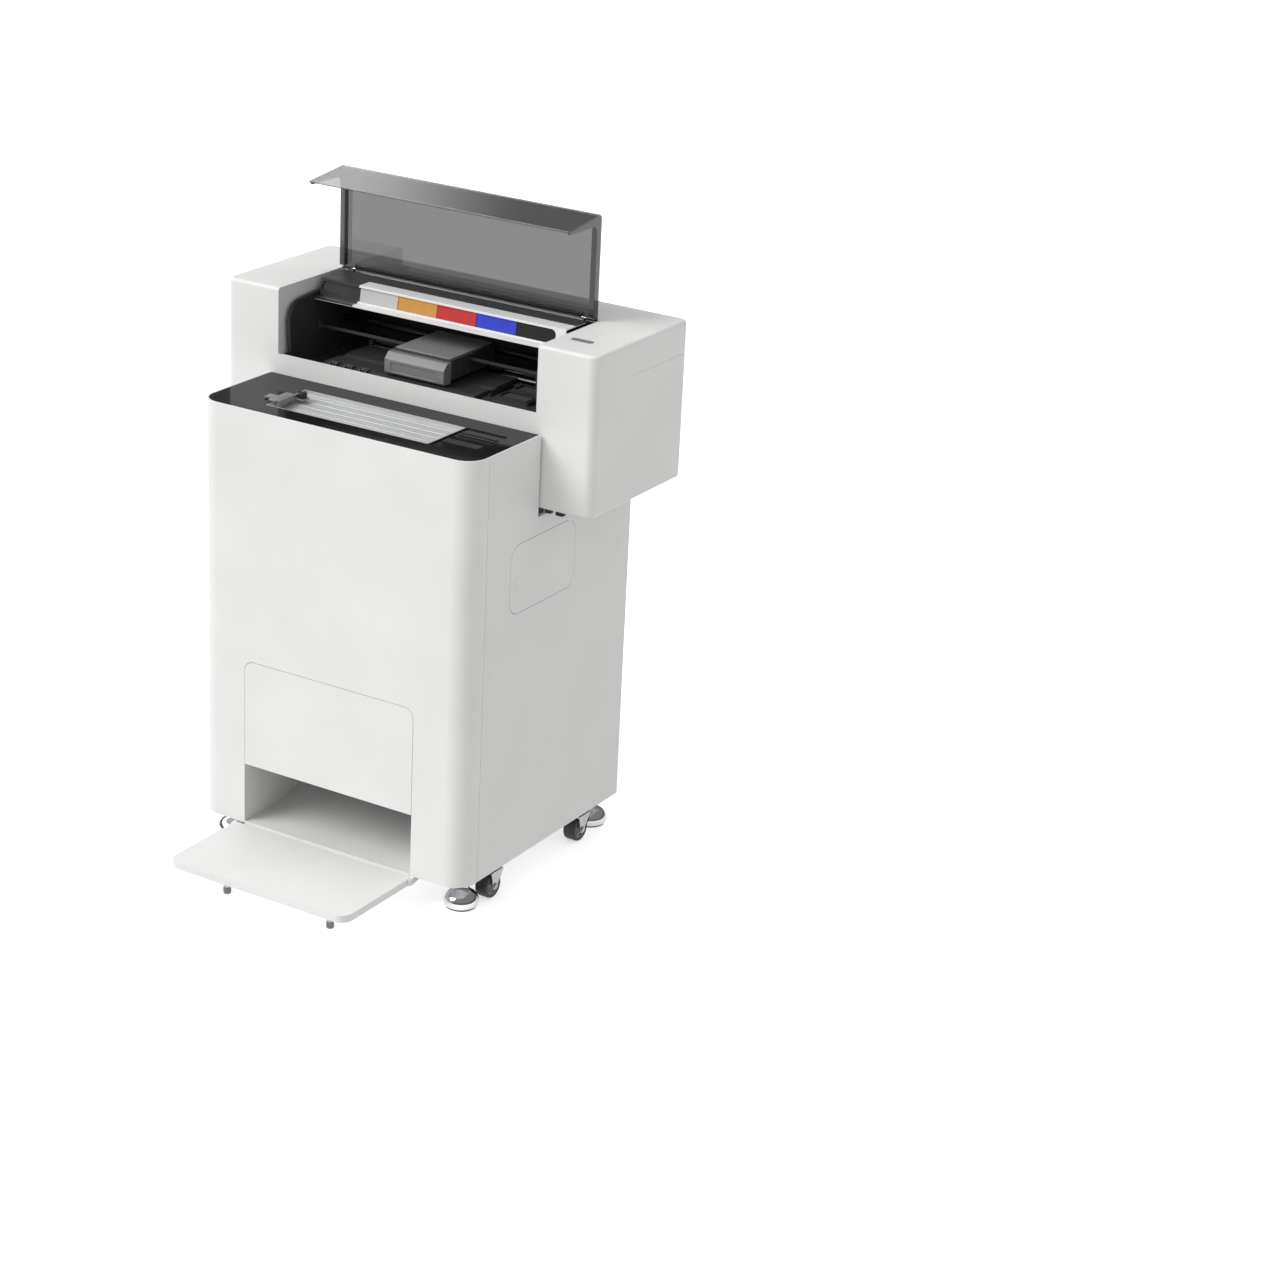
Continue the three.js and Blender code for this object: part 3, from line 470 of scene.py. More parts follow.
def side_door():
    low, high = span("side_door")
    leaf = prism("side_door_leaf", rounded(low.y, low.z, high.y, high.z, 29.2, 12), "x", high.x - 3, high.x)
    latch_y, latch_z = low.y + 24, (low.z + high.z) / 2 - 6
    seat = rounded(latch_y - 5.5, latch_z - 11.5, latch_y + 5.5, latch_z + 11.5, 5.4)
    cut(leaf, prism("seat", seat, "x", high.x - 1.2, high.x + 3))
    place(leaf, "shade_paint", "shade_paint", "side_door", body="side_door", soft=(0.6, 3))
    plate = rounded(latch_y - 5, latch_z - 11, latch_y + 5, latch_z + 11, 4.9)
    latch = prism("side_door_latch", plate, "x", high.x - 1.1, high.x + 0.3)
    place(latch, "white_plastic", "shade_paint", body="side_door", soft=(0.5, 3))
    y0, y1 = DOOR_PIVOT[1] - 3.5, DOOR_PIVOT[1] + 3.5
    boss = block("side_door_boss", low.x, high.x - 3.05, y0, y1, low.z + 1, high.z - 1)
    cut(boss, rod("bore", 1.8, low.z - 5, high.z + 5, "z", (*DOOR_PIVOT, 0), 16))
    place(boss, "zinc", "shade_paint", body="side_door", soft=(0.5, 2))


def deck_panel():
    low, high = span("deck_panel")
    deck = CAB["deck"]
    bent = [(low.y, deck - 3), (high.y, deck - 3), (high.y, deck), (CAB["back"] + 2, deck)]
    bent += [(CAB["back"], deck + 2), (CAB["back"], high.z), (low.y, high.z)]
    sheet = prism("deck_sheet", bent, "x", low.x, high.x)
    place(sheet, "shade_paint", "shade_paint", "deck_panel", soft=(0.6, 2))


def screw_heads(name, points, face, radius, height):
    """Domed screws with a cross slot, on a face that looks to the rear; points are (x, z)."""
    heads = []
    for a, b in points:
        steps = [(radius, 0), (radius * 0.96, height * 0.5), (radius * 0.7, height * 0.85), (0, height)]
        head = lathe("head", [(0, -0.4), (radius, -0.4)] + steps, "y", (a, face, b), 20)
        slots = []
        for wide, tall in ((radius * 1.1, 0.7), (0.7, radius * 1.1)):
            outline = rounded(a - wide / 2, b - tall / 2, a + wide / 2, b + tall / 2, 0)
            slots.append(prism("slot", outline, "y", face + height * 0.35, face + height + 2))
        cut(head, *slots)
        heads.append(head)
    place(merge(name, heads), "zinc", "zinc_plate")


def rear_panel():
    low, high = span("rear_panel")
    sheet = fill("rear_sheet", "rear_panel")
    vents = [(x, 563.5 + row * 16) for row in range(7) for x in (-150, 150)]
    holes = [rounded(x - 70, z - 3.5, x + 70, z + 3.5, 3.4) for x, z in vents]
    inlet_low, inlet_high = span("power_inlet")
    holes.append(rounded(inlet_low.x - 0.4, inlet_low.z - 0.4, inlet_high.x + 0.4, inlet_high.z + 0.4, 2))
    cut(sheet, merge("slots", [prism("slot", hole, "y", low.y - 5, high.y + 5) for hole in holes]))
    place(sheet, "shade_paint", "shade_paint", "rear_panel", soft=(0.5, 2))
    edge = 9
    rows = [low.z + edge + (high.z - low.z - 2 * edge) * i / 4 for i in range(5)]
    points = [(x, z) for x in (low.x + edge, high.x - edge) for z in rows]
    points += [(0, low.z + edge), (0, high.z - edge)]
    screw_heads("rear_panel_screws", points, high.y, 3.0, 0.8)
    guards = []
    for x in (-150, 150):
        for i in range(15):
            left = x - 68 + i * 9.5
            guards.append(block("wire", left, x - 67 + i * 9.5, low.y - 3, low.y - 2, 555, 668))
        for i in range(12):
            z = 556 + i * 10
            guards.append(block("wire", x - 70, x + 70, low.y - 4, low.y - 3.05, z, z + 1))
    place(merge("vent_guards", guards), "matt_black", "zinc_plate")


def power_inlet():
    low, high = span("power_inlet")
    x = middle("power_inlet")[0]
    body = fill("inlet_housing", "power_inlet", 1.6, "y")
    z = low.z + 5.6
    socket = [(x - 12, z + 5), (x - 7, z), (x + 7, z), (x + 12, z + 5), (x + 12, z + 17), (x - 12, z + 17)]
    cut(body, prism("socket", socket, "y", high.y - 19, high.y + 5))
    cut(body, block("well", x - 10, x + 10, high.y - 15, high.y + 5, high.z - 26.6, high.z - 4.6))
    place(body, "matt_black", "matt_black", "power_inlet", soft=(0.4, 2))
    pins = []
    for dx, dz in ((-6.5, 6.5), (6.5, 6.5), (0, 11.5)):
        outline = rounded(x + dx - 1, z + dz - 2, x + dx + 1, z + dz + 2, 0.8)
        pins.append(prism("pin", outline, "y", high.y - 18.9, high.y - 4))
    place(merge("inlet_pins", pins), "steel", "zinc_plate")


def power_switch():
    low, high = span("power_switch")
    z = middle("power_switch")[2]
    face = high.y
    side = [(low.y, low.z), (face - 1.6, low.z), (face - 3.4, z - 3), (face - 3.9, z), (face - 3.2, z + 3),
            (face - 0.4, high.z - 0.4), (low.y, high.z - 0.6)]
    rocker = prism("rocker_switch", side, "x", low.x, high.x)
    place(rocker, "matt_black", "matt_black", "power_switch", body="power_switch", soft=(0.5, 3))


# ---- film outlet and tray
def output_chute():
    low, high = span("output_chute")
    wall, bend, radius = 3.0, low.y + 46.6, 420.0
    sweep = math.degrees(math.asin((high.y - bend) / radius))
    floor = low.z
    ramp = [(low.y, floor)] + arc(bend, floor + wall + radius, radius + wall, -90, -90 + sweep, 32)
    ramp += arc(bend, floor + wall + radius, radius, -90 + sweep, -90, 32) + [(low.y, floor + wall)]
    chute = prism("chute_shell", ramp, "x", low.x, high.x)
    side = rounded(low.y, floor, high.y, high.z, 0)
    for x in (low.x, high.x - wall):
        weld(chute, prism("side", side, "x", x, x + wall))
    weld(chute, block("tie", low.x, high.x, high.y - 20, high.y, high.z - wall, high.z))
    place(chute, "shade_paint", "shade_paint", "output_chute", soft=(0.5, 2))
    x0, x1, y0, z1 = low.x + 3.5, high.x - 3.5, low.y - 3.8, floor + wall
    apron = block("chute_apron", x0, x1, y0, low.y - 2.4, 49, z1)
    weld(apron, block("top", x0, x1, y0, low.y + 0.5, floor + 1.6, z1))
    place(apron, "white_paint", "shade_paint", soft=(0.5, 2))


# The output tray's hinge line in (y, z), its legs, and how far its middle and the outlet's are off centre.
TRAY = {"pivot": (-168.0, 53.0), "leg_x": (-112, 122), "leg_y": -317, "centre": -10, "half": 201}
OUTLET_CENTRE = -4


def output_tray():
    low, high = span("output_tray")
    top, thick, pivot = high.z, 14.0, TRAY["pivot"][0]
    plan = rounded(low.x, low.y, high.x, pivot, [24, 24, 0, 0], 14)
    slab = prism("tray_slab", plan, "z", top - thick, top)
    hollow = rounded(low.x + 3, low.y + 3, high.x - 3, pivot - 12, [21, 21, 0, 0], 12)
    cut(slab, prism("hollow", hollow, "z", top - thick - 5, top - 3.2))
    weld(slab, rod("barrel", 7, low.x, high.x, "x", (0, pivot, top - 7), 32))
    for x in (low.x, high.x):
        cut(slab, rod("bore", 2.8, -10, 10, "x", (x, pivot, top - 7), 20))
    place(slab, "tray_white", "white_plastic", "output_tray", body="output_tray", soft=(1.6, 4))
    ribs = []
    for i in range(5):
        x = TRAY["centre"] - 136 + 68 * i
        ribs.append(block("rib", x - 1, x + 1, low.y + 6, pivot - 14, top - 11, top - 3.25))
    place(merge("tray_ribs", ribs), "white_plastic", "white_plastic", body="output_tray")
    leg = [(0, 5), (5.6, 5), (6, 20), (7, top - 12), (9, top - 4), (0, top - 3.4)]
    tip = [(0, 0), (6.2, 0), (7.2, 1), (7.4, 6), (7, 12), (6.1, 12.5), (5.9, 6), (0, 5.2)]
    legs, tips = [], []
    for x in TRAY["leg_x"]:
        centre = (x, TRAY["leg_y"], 0)
        legs.append(lathe("leg", leg, "z", centre, 28))
        tips.append(lathe("tip", tip, "z", centre, 28))
    place(merge("tray_legs", legs), "white_plastic", "white_plastic", body="output_tray")
    place(merge("tray_leg_tips", tips), "grey_plastic", "black_rubber", body="output_tray")


def base_plate():
    base = CAB["base"]
    inner = 193.8
    left, right = OUTLET_CENTRE - inner, OUTLET_CENTRE + inner
    plan = u_plan(3.4, span("base_plate")[1].y)
    front_left = [p for p in plan if p[0] < left]
    front_right = [p for p in plan if p[0] > right]
    y0 = CAB["front"] + 3.4
    outline = [(right, y0)] + front_right + front_left + [(left, y0), (left, 212), (right, 212)]
    sheet = prism("base_sheet", outline, "z", base, base + 6)
    place(sheet, "zinc", "zinc_plate", "base_plate", soft=(0.6, 2))
    tabs = []
    pivot_y, pivot_z = TRAY["pivot"]
    for side in (-1, 1):
        edge = TRAY["centre"] + side * TRAY["half"]
        x0, x1 = mirrored(side, 1, 5, edge)
        tab = [(pivot_y - 6, 47), (pivot_y + 6, 46.5), (-120, 57), (-120, 59.9), (pivot_y - 6, 59.4)]
        tabs.append(prism("tab", tab, "x", x0, x1))
        pin = [(0, -7), (2.5, -7), (2.5, 7), (4.5, 7), (4.5, 8.5), (0, 8.5)]
        centre = (edge - side * 2, pivot_y, pivot_z)
        tabs.append(lathe("pin", [(r, side * h) for r, h in pin], "x", centre, 20))
    tabs = merge("tray_hinge_tabs", tabs)
    place(tabs, "white_paint", "zinc_plate", soft=(0.5, 2))


# ---- deck round the film entry
def top_panel():
    low, high = span("top_panel")
    r = CAB["corner"] - 3.4
    panel = prism("top_deck", rounded(low.x, low.y, high.x, high.y, [r, r, 0, 0], 20), "z", low.z, high.z)
    trough_low, trough_high = span("film_trough")
    x0, x1, y0, y1 = trough_low.x - 0.4, trough_high.x + 0.4, trough_low.y - 0.4, trough_high.y + 0.4
    cut(panel, prism("hole", rounded(x0, y0, x1, y1, 4), "z", low.z - 5, high.z + 5))
    drive = rounded(x1 + 3, y0, 262, y1, 5)
    cut(panel, prism("recess", drive, "z", high.z - 2.4, high.z + 5))
    place(panel, "gloss_black", "gloss_black", "top_panel", soft=(0.8, 3))
    bars = []
    for y, half in ((-72, 10), (-30, 3), (-18, 3)):
        bars.append(block("bar", x1 + 8, 256, y - half, y + half, high.z - 2.4, high.z - 0.6, 3))
    bars = merge("drive_cover_bars", bars)
    place(bars, "matt_black", "gloss_black", soft=(0.6, 3))


def film_trough():
    low, high = span("film_trough")
    slot_y = -95.5
    top = high.z
    floor = [(slot_y, low.z), (slot_y + 2, low.z), (slot_y + 2, 855), (high.y, 868), (high.y, top),
             (high.y - 2, top), (high.y - 2, 870), (slot_y + 3, 857.6), (slot_y + 0.6, 856.6)]
    body = prism("trough_sheet", floor, "x", low.x, high.x)
    weld(body, block("front", low.x, high.x, low.y, low.y + 2, low.z, top))
    for x in (low.x, high.x - 2):
        weld(body, block("end", x, x + 2, low.y, high.y, low.z, top))
    for x in (low.x, high.x):
        cut(body, rod("bore", 2.8, -6, 6, "x", (x, -104, 852), 16))
    place(body, "silver", "silver_sheet", "film_trough", soft=(0.5, 3))
    ribs = []
    for i in range(5):
        y = -80 + 18 * i
        z = 857 + (y - slot_y) * 13 / 98
        rib = [(y - 2.6, z - 0.5), (y + 2.6, z - 0.2), (y + 1.6, z + 0.6), (y - 1.6, z + 0.4)]
        ribs.append(prism("rib", rib, "x", low.x + 20, high.x - 4))
    ribs = merge("trough_ribs", ribs)
    place(ribs, "silver", "silver_sheet", soft=(0.5, 3))


def entry_roller():
    low, high = span("entry_roller")
    centre = (0, *middle("entry_roller")[1:])
    profile = [(0, low.x), (2.4, low.x), (2.4, low.x + 4), (5.2, low.x + 4), (6, low.x + 5)]
    for i in range(9):
        x = low.x + 24 + i * 40
        profile += [(6, x), (5.5, x + 0.8), (5.5, x + 2), (6, x + 2.8)]
    profile += [(6, high.x - 5), (5.2, high.x - 4), (2.4, high.x - 4), (2.4, high.x), (0, high.x)]
    place(lathe("entry_roller_bar", profile, "x", centre, 40), "steel", "ground_steel", "entry_roller",
          body="entry_roller")


def film_guide():
    low, high = span("film_guide")
    x = low.x + 36
    fence = block("guide_fence", x - 3, x + 3, low.y, high.y, low.z, high.z - 0.5, 0)
    weld(fence, block("foot", x - 5, high.x, high.y - 18, high.y, low.z, low.z + 3))
    weld(fence, block("arm", low.x, x - 2, low.y + 8, low.y + 26, high.z - 2.5, high.z))
    weld(fence, block("plate", x - 19, x - 2, low.y - 4, high.y - 14, high.z - 2.4, high.z - 0.1, 2))
    place(fence, "guide_grey", "grey_plastic", "film_guide", body="film_guide", soft=(0.7, 3))
    low, high = span("guide_knob")
    x, y = middle("guide_knob")[:2]
    r = (high.x - low.x) / 2
    profile = [(0, low.z), (r - 0.6, low.z), (r, low.z + 0.6), (r, high.z - 1.2), (r - 1.2, high.z),
               (1, high.z), (0, high.z - 0.3)]
    knob = lathe("guide_knob_cap", profile, "z", (x, y, 0), 40)
    grips = []
    for i in range(10):
        turn = 2 * math.pi * i / 10
        spot = (x + (r + 0.7) * math.cos(turn), y + (r + 0.7) * math.sin(turn), 0)
        grips.append(rod("grip", 1.1, low.z - 1, high.z + 1, "z", spot, 12))
    cut(knob, merge("grips", grips))
    place(knob, "matt_black", "matt_black", "guide_knob", body="guide_knob", soft=(0.2, 2))


def inner_works():
    """The hopper and heater keep their CAD shape and take the sheet metal finish."""
    for node in ("powder_hopper", "curing_heater"):
        obj = frame["nodes"][node]
        obj.data.materials.clear()
        obj.data.materials.append(LOOKS["silver"])


# ---- casters and levelling feet
def turned_about(centre, obj, degrees):
    """Turns a mesh about the X axis through a point."""
    pivot = Vector(centre) * MM
    turn = Matrix.Rotation(math.radians(degrees), 4, "X")
    obj.data.transform(Matrix.Translation(pivot) @ turn @ Matrix.Translation(-pivot))
    return obj


def caster(corner):
    low, high = span("caster_wheel_" + corner)
    x, y, z = (low + high) / 2
    r, w = (high.z - low.z) / 2, (high.x - low.x) / 2
    wheel = "caster_wheel_" + corner
    centre = (x, y, z)
    tyre = [(r - 7.6, -w + 1), (r - 5.4, -w + 0.2), (r - 2.6, -w), (r - 0.9, -w + 1.1), (r, -w + 3.6),
            (r, w - 3.6), (r - 0.9, w - 1.1), (r - 2.6, w), (r - 5.4, w - 0.2), (r - 7.6, w - 1)]
    place(lathe(wheel + "_tyre", tyre, "x", centre, 64), "tyre", "black_rubber", wheel, body=wheel)
    half = [(3.3, w - 0.4), (6.8, w - 0.4), (7.6, w - 1.2), (8.2, w - 4.6), (15.4, w - 4.6), (16, w - 1.6),
            (17.5, w - 0.9)]
    hub = [(radius, -height) for radius, height in half] + half[::-1]
    parts = [lathe("hub", hub, "x", centre, 48)]
    for i in range(5):
        for side in (-1, 1):
            x0, x1 = mirrored(side, w - 5, w - 1.8, x)
            spoke = block("spoke", x0, x1, y - 1.2, y + 1.2, z + 7.8, z + 16.2)
            parts.append(turned_about(centre, spoke, i * 72))
    place(merge(wheel + "_hub", parts), "grey_plastic", "black_rubber", body=wheel)

    fork = "caster_fork_" + corner
    trail, roof, top = 10.0, r + 0.9, span(fork)[1].z
    leg_in, leg_out = w + 1, w + 3.5
    leg = arc(y, z, 7.5, 180, 360, 12)
    leg += [(y + trail + 12, z + roof - 7), (y + trail + 16, z + roof), (y + trail + 16, z + roof + 3)]
    leg += [(y - 12, z + roof + 3), (y - 12, z + roof - 1), (y - 9, z + 12)]
    cheeks = [prism("cheek", leg, "x", *mirrored(side, leg_in, leg_out, x)) for side in (-1, 1)]
    cover = block("cover", x - leg_out, x + leg_out, y - 12, y + trail + 16, z + roof, z + roof + 3)
    yoke = weld(cheeks[0], cheeks[1], cover)
    place(yoke, "zinc", "zinc_plate", fork, body=fork, soft=(0.8, 3))
    race = [(0, z + roof + 2.6), (13.6, z + roof + 2.6), (15, z + roof + 3.4), (15.2, top - 3.6),
            (13.4, top - 3.2), (13.4, top - 2.8), (16.4, top - 2.4), (16.4, top - 1.2), (15.6, top - 0.6),
            (0, top - 0.6)]
    place(lathe(fork + "_race", race, "z", (x, y + trail, 0), 40), "zinc", "zinc_plate", body=fork)
    hexagon = arc(y, z, 5.6, 0, 300, 5)
    ends = [mirrored(side, leg_out - 0.2, leg_out + 2.4, x) for side in (-1, 1)]
    bolt = [prism("head", hexagon, "x", *end) for end in ends]
    bolt.append(rod("axle", 2.9, -leg_out - 3, leg_out + 3, "x", centre, 20))
    bolt = merge(fork + "_bolt", bolt)
    place(bolt, "zinc", "zinc_plate", body=fork, soft=(0.35, 2))


def levelling_foot(corner):
    node = "levelling_foot_" + corner
    low, high = span(node)
    x, y = middle(node)[:2]
    r, top = (high.x - low.x) / 2, high.z
    sole = [(0, 0), (r - 6, 0), (r - 4.4, 0.4), (r - 4, 2.2), (0, 2.2)]
    place(lathe(node + "_sole", sole, "z", (x, y, 0), 56), "rubber", "black_rubber", body=node)
    dome = [(0, 1.8), (r - 5.4, 1.8), (r - 2.4, 4), (r - 0.6, 8), (r, 12), (r - 0.6, 16.5), (r - 2.4, 20.5),
            (r - 5.4, 25), (r - 9, 28.6), (r - 13, 31.6), (r - 16, 34), (r - 18.4, 37), (r - 20, 40.4),
            (12.2, 46), (12, top), (0, top)]
    place(lathe(node + "_pad", dome, "z", (x, y, 0), 64), "chrome", "chrome_plate", node, body=node)


# ---- printer casing
# The opening through the casing's front and top, and the ribs and walls round it.
NOTCH = {"half": 285.0, "sill": 912.0, "rear": 262.0, "rib": 6.0, "wall": 6.0}


def printer_housing():
    low, high = span("printer_housing")
    body = prism("printer_casing", rounded(low.x, low.y, high.x, high.y, 18, 14), "z", low.z, high.z)
    body.data.shade_smooth()
    bevel = body.modifiers.new("edges", "BEVEL")
    bevel.width, bevel.segments = 6.5 * MM, 7
    bevel.limit_method, bevel.angle_limit = "ANGLE", math.radians(50)
    bake(body)
    wall, half, rib = NOTCH["wall"], NOTCH["half"], NOTCH["half"] + NOTCH["rib"]
    y0, y1, z0, z1 = low.y + wall, high.y - 4, low.z + wall, high.z - wall
    cut(body, block("back", low.x + wall, high.x - wall, high.y - 8, high.y + 5, z0, z1))
    for x0, x1 in ((-half, half), (low.x + wall, -rib), (rib, high.x - wall)):
        cut(body, block("room", x0, x1, y0, y1, z0, z1))
    cut(body, block("notch", -half, half, low.y - 5, NOTCH["rear"], NOTCH["sill"], high.z + 5))
    button_low, button_high = span("power_button")
    x0, x1, y0, y1 = button_low.x - 0.4, button_high.x + 0.4, button_low.y - 0.4, button_high.y + 0.4
    hole = rounded(x0, y0, x1, y1, 7.4, 10)
    cut(body, prism("button_hole", hole, "z", high.z - 20, high.z + 5))
    cut(body, block("groove", high.x - 0.7, high.x + 5, 170, high.y - 12, 976.4, 977.4))
    place(body, "white_paint", "white_paint", "printer_housing", soft=(0.6, 3))


def printer_rear():
    """Two rear plates; the film goes in through the gap between them."""
    low, high = span("printer_rear_cover")
    gap_top = span("printer_rear_lintel")[0].z
    cover = fill("rear_cover_panel", "printer_rear_cover")
    ribs = []
    for i in range(9):
        z = low.z + 40 + i * 9
        for x in (-300, 300):
            outline = rounded(x - 50, z - 2.2, x + 50, z + 2.2, 2.1)
            ribs.append(prism("rib", outline, "y", low.y - 5, high.y + 5))
    cut(cover, merge("ribs", ribs))
    place(cover, "white_plastic", "white_paint", "printer_rear_cover", soft=(0.6, 2))
    lintel = fill("rear_lintel_panel", "printer_rear_lintel")
    place(lintel, "white_plastic", "white_paint", "printer_rear_lintel", soft=(0.6, 2))
    left, right, half_way = low.x + 12, -low.x - 12, middle("printer_rear_cover")[2]
    points = [(x, z) for x in (left, right) for z in (low.z + 12, half_way, high.z - 12)]
    points += [(x, z) for x in (-130, 130) for z in (low.z + 12, high.z - 12)]
    points += [(x, middle("printer_rear_lintel")[2]) for x in (left, -130, 130, right)]
    screw_heads("rear_cover_screws", points, high.y, 3.2, 1.2)
    beads = []
    for z0, z1 in ((high.z - 5, high.z + 0.8), (gap_top - 0.8, gap_top + 5)):
        outline = rounded(high.y - 2, z0, high.y + 1.4, z1, 0.5)
        beads.append(prism("bead", outline, "x", low.x + 14, high.x - 14))
    beads = merge("film_slot_beads", beads)
    place(beads, "grey_plastic", "grey_plastic", soft=(0.5, 2))


def printer_feet():
    for row in ("front", "rear"):
        for hand in ("left", "right"):
            node = "printer_foot_%s_%s" % (row, hand)
            low, high = span(node)
            r = (high.x - low.x) / 2
            profile = [(0, low.z), (r - 2.2, low.z), (r - 1.2, low.z + 0.6), (r - 0.6, low.z + 4),
                       (r - 0.8, low.z + 6), (r, low.z + 7), (r, high.z - 1), (r - 1, high.z), (0, high.z)]
            pad = lathe(node + "_pad", profile, "z", (*middle(node)[:2], 0), 40)
            place(pad, "rubber", "black_rubber", node)


def overhang_buffers():
    """Two dark stops under each end of the casing, where it stands out past the cabinet."""
    bottom = span("printer_housing")[0].z
    stops = []
    for side in (-1, 1):
        for x, reach in ((314, 6), (338, 8)):
            x0, x1 = mirrored(side, x - reach, x + reach)
            stops.append(block("stop", x0, x1, 62, 74, bottom - 7, bottom + 0.5, 2))
    stops = merge("overhang_stops", stops)
    place(stops, "rubber", "black_rubber", soft=(0.8, 2))


def power_button():
    low, high = span("power_button")
    r = (high.y - low.y) / 2
    cap = prism("power_button_cap", rounded(low.x, low.y, high.x, high.y, r - 0.05, 12), "z", low.z, high.z)
    dish = rounded(low.x + 2.4, low.y + 2.4, high.x - 2.4, high.y - 2.4, r - 2.5, 10)
    cut(cap, prism("dish", dish, "z", high.z - 0.5, high.z + 2))
    place(cap, "grey_plastic", "grey_plastic", "power_button", body="power_button", soft=(0.35, 3))
    profile = [(0, high.z - 2), (1.2, high.z - 2), (1.2, high.z - 0.3), (0.8, high.z - 0.1), (0, high.z)]
    lens = lathe("power_button_lens", profile, "z", (high.x - 9, middle("power_button")[1], 0), 24)
    place(lens, "pale_grey", "grey_plastic", body="power_button")


# ---- print chamber
def bezier(corners, steps):
    """Points on a cubic curve from its start, two handles and end, the start left out."""
    points = []
    for i in range(1, steps + 1):
        t = i / steps
        weights = ((1 - t) ** 3, 3 * t * (1 - t) ** 2, 3 * t * t * (1 - t), t ** 3)
        points.append(tuple(sum(w * p[k] for w, p in zip(weights, corners)) for k in (0, 1)))
    return points


def chamber_liner():
    low, high = span("chamber_liner")
    floor_top, sill = low.z + 6, NOTCH["sill"] + 0.4
    bed = block("chamber_bed", low.x, high.x, low.y, high.y, low.z, floor_top)
    y0 = low.y + 9.6
    end = [(low.y, floor_top - 1), (low.y, sill), (y0 + 4, sill), (y0, 975)]
    end += bezier(((y0, 975), (y0 + 4, 998), (y0 + 14, 1009), (y0 + 44, 1011)), 16)
    end += [(227, 1020), (227, floor_top - 1)]
    for side in (-1, 1):
        weld(bed, prism("end", end, "x", *mirrored(side, 273, 278)))
        weld(bed, block("bearing", *mirrored(side, 191.5, 199), 226, 246, floor_top - 1, 918.4))
        for radius, z in ((3.3, 903), (1.9, 915.4)):
            cut(bed, rod("bore", radius, -202, 202, "x", (0, 236, z), 20))
    place(bed, "liner_black", "matt_black", "chamber_liner", soft=(0.7, 2))
    lips = []
    for side in (-1, 1):
        path = [(side * 272.2, y + 1.6, z - 1.6) for y, z in end[2:-1]]
        lips.append(tube("lip", path, 1.5, 10))
    place(merge("chamber_end_lips", lips), "dark_body", "matt_black")
    lining = block("chamber_back", -284.4, 284.4, 330, 332, 760, 1031)
    for side in (-1, 1):
        weld(lining, block("cheek", *mirrored(side, 283, 284.4), 229, 331, 760, 1031))
    place(lining, "liner_black", "matt_black", soft=(0.4, 2))


def platen():
    low, high = span("platen")
    top = high.z
    profile = [(low.y, low.z), (high.y, low.z), (high.y, top), (150, top), (150, top - 4.4),
               (128, top - 4.4), (128, top), (81, top), (low.y, top - 6.4)]
    body = prism("platen_bar", profile, "x", low.x, high.x)
    holes = []
    for row, y in enumerate((92, 116, 164, 188, 212)):
        for i in range(16):
            x = low.x + 14 + i * 20.6 + (row % 2) * 8
            holes.append(rod("hole", 1.5, top - 3, top + 2, "z", (x, y, 0), 10))
    cut(body, merge("holes", holes))
    place(body, "liner_black", "matt_black", "platen", soft=(0.5, 2))
    foam = block("spittoon_foam", low.x + 1, high.x - 1, 128.6, 149.4, top - 4.3, top - 2.2)
    place(foam, "foam", "matt_black", soft=(0.5, 2))


def rollers():
    low, high = span("feed_roller")
    centre = (0, *middle("feed_roller")[1:])
    r, half = (high.z - low.z) / 2, high.x
    profile = [(0, -half), (2.6, -half), (3, -half + 0.4), (3, -half + 8)]
    profile += [(r - 0.6, -half + 8), (r, -half + 8.6), (r, half - 8.6), (r - 0.6, half - 8), (3, half - 8)]
    profile += [(3, half - 0.4), (2.6, half), (0, half)]
    place(lathe("feed_roller_bar", profile, "x", centre, 48), "dark_steel", "zinc_plate", "feed_roller",
          body="feed_roller")
    low, high = span("pinch_roller")
    centre = (0, *middle("pinch_roller")[1:])
    half, shaft, sleeve = high.x, 1.6, (high.z - low.z) / 2
    bar = rod("pinch_roller_shaft", shaft, -half, half, "x", centre, 24)
    place(bar, "dark_steel", "ground_steel", "pinch_roller", body="pinch_roller")
    sleeves = []
    for i in range(-2, 3):
        x = i * 80
        ring = [(shaft - 0.1, x - 15), (sleeve - 0.4, x - 15), (sleeve, x - 14.4), (sleeve, x + 14.4),
                (sleeve - 0.4, x + 15), (shaft - 0.1, x + 15)]
        sleeves.append(lathe("sleeve", ring, "x", centre, 32))
    place(merge("pinch_roller_sleeves", sleeves), "rubber", "black_rubber", body="pinch_roller")


def star_wheels():
    """Small exit wheels on low holders along the front of the platen."""
    centre = (0, 77, 911.3)
    side = [(72, 909.2), (86, 910.9), (86, 912.4), (82, 914), (78, 914), (73, 912.8)]
    holders, wheels = [], []
    for i in range(3):
        x = -172 + i * 34
        holders.append(prism("holder", side, "x", x - 9, x - 5.6))
        holders.append(prism("holder", side, "x", x + 5.6, x + 9))
        holders.append(block("bridge", x - 9, x + 9, 80, 85.6, 912.4, 913.9))
        tread = [(0, x - 3), (2, x - 3), (2.5, x - 2), (2.5, x + 2), (2, x + 3), (0, x + 3)]
        wheels.append(lathe("wheel", tread, "x", centre, 20))
        wheels.append(rod("pin", 0.9, x - 8, x + 8, "x", centre, 10))
    holders = merge("exit_wheel_holders", holders)
    place(holders, "soft_grey", "grey_plastic", soft=(0.4, 2))
    place(merge("exit_wheels", wheels), "dark_body", "grey_plastic")


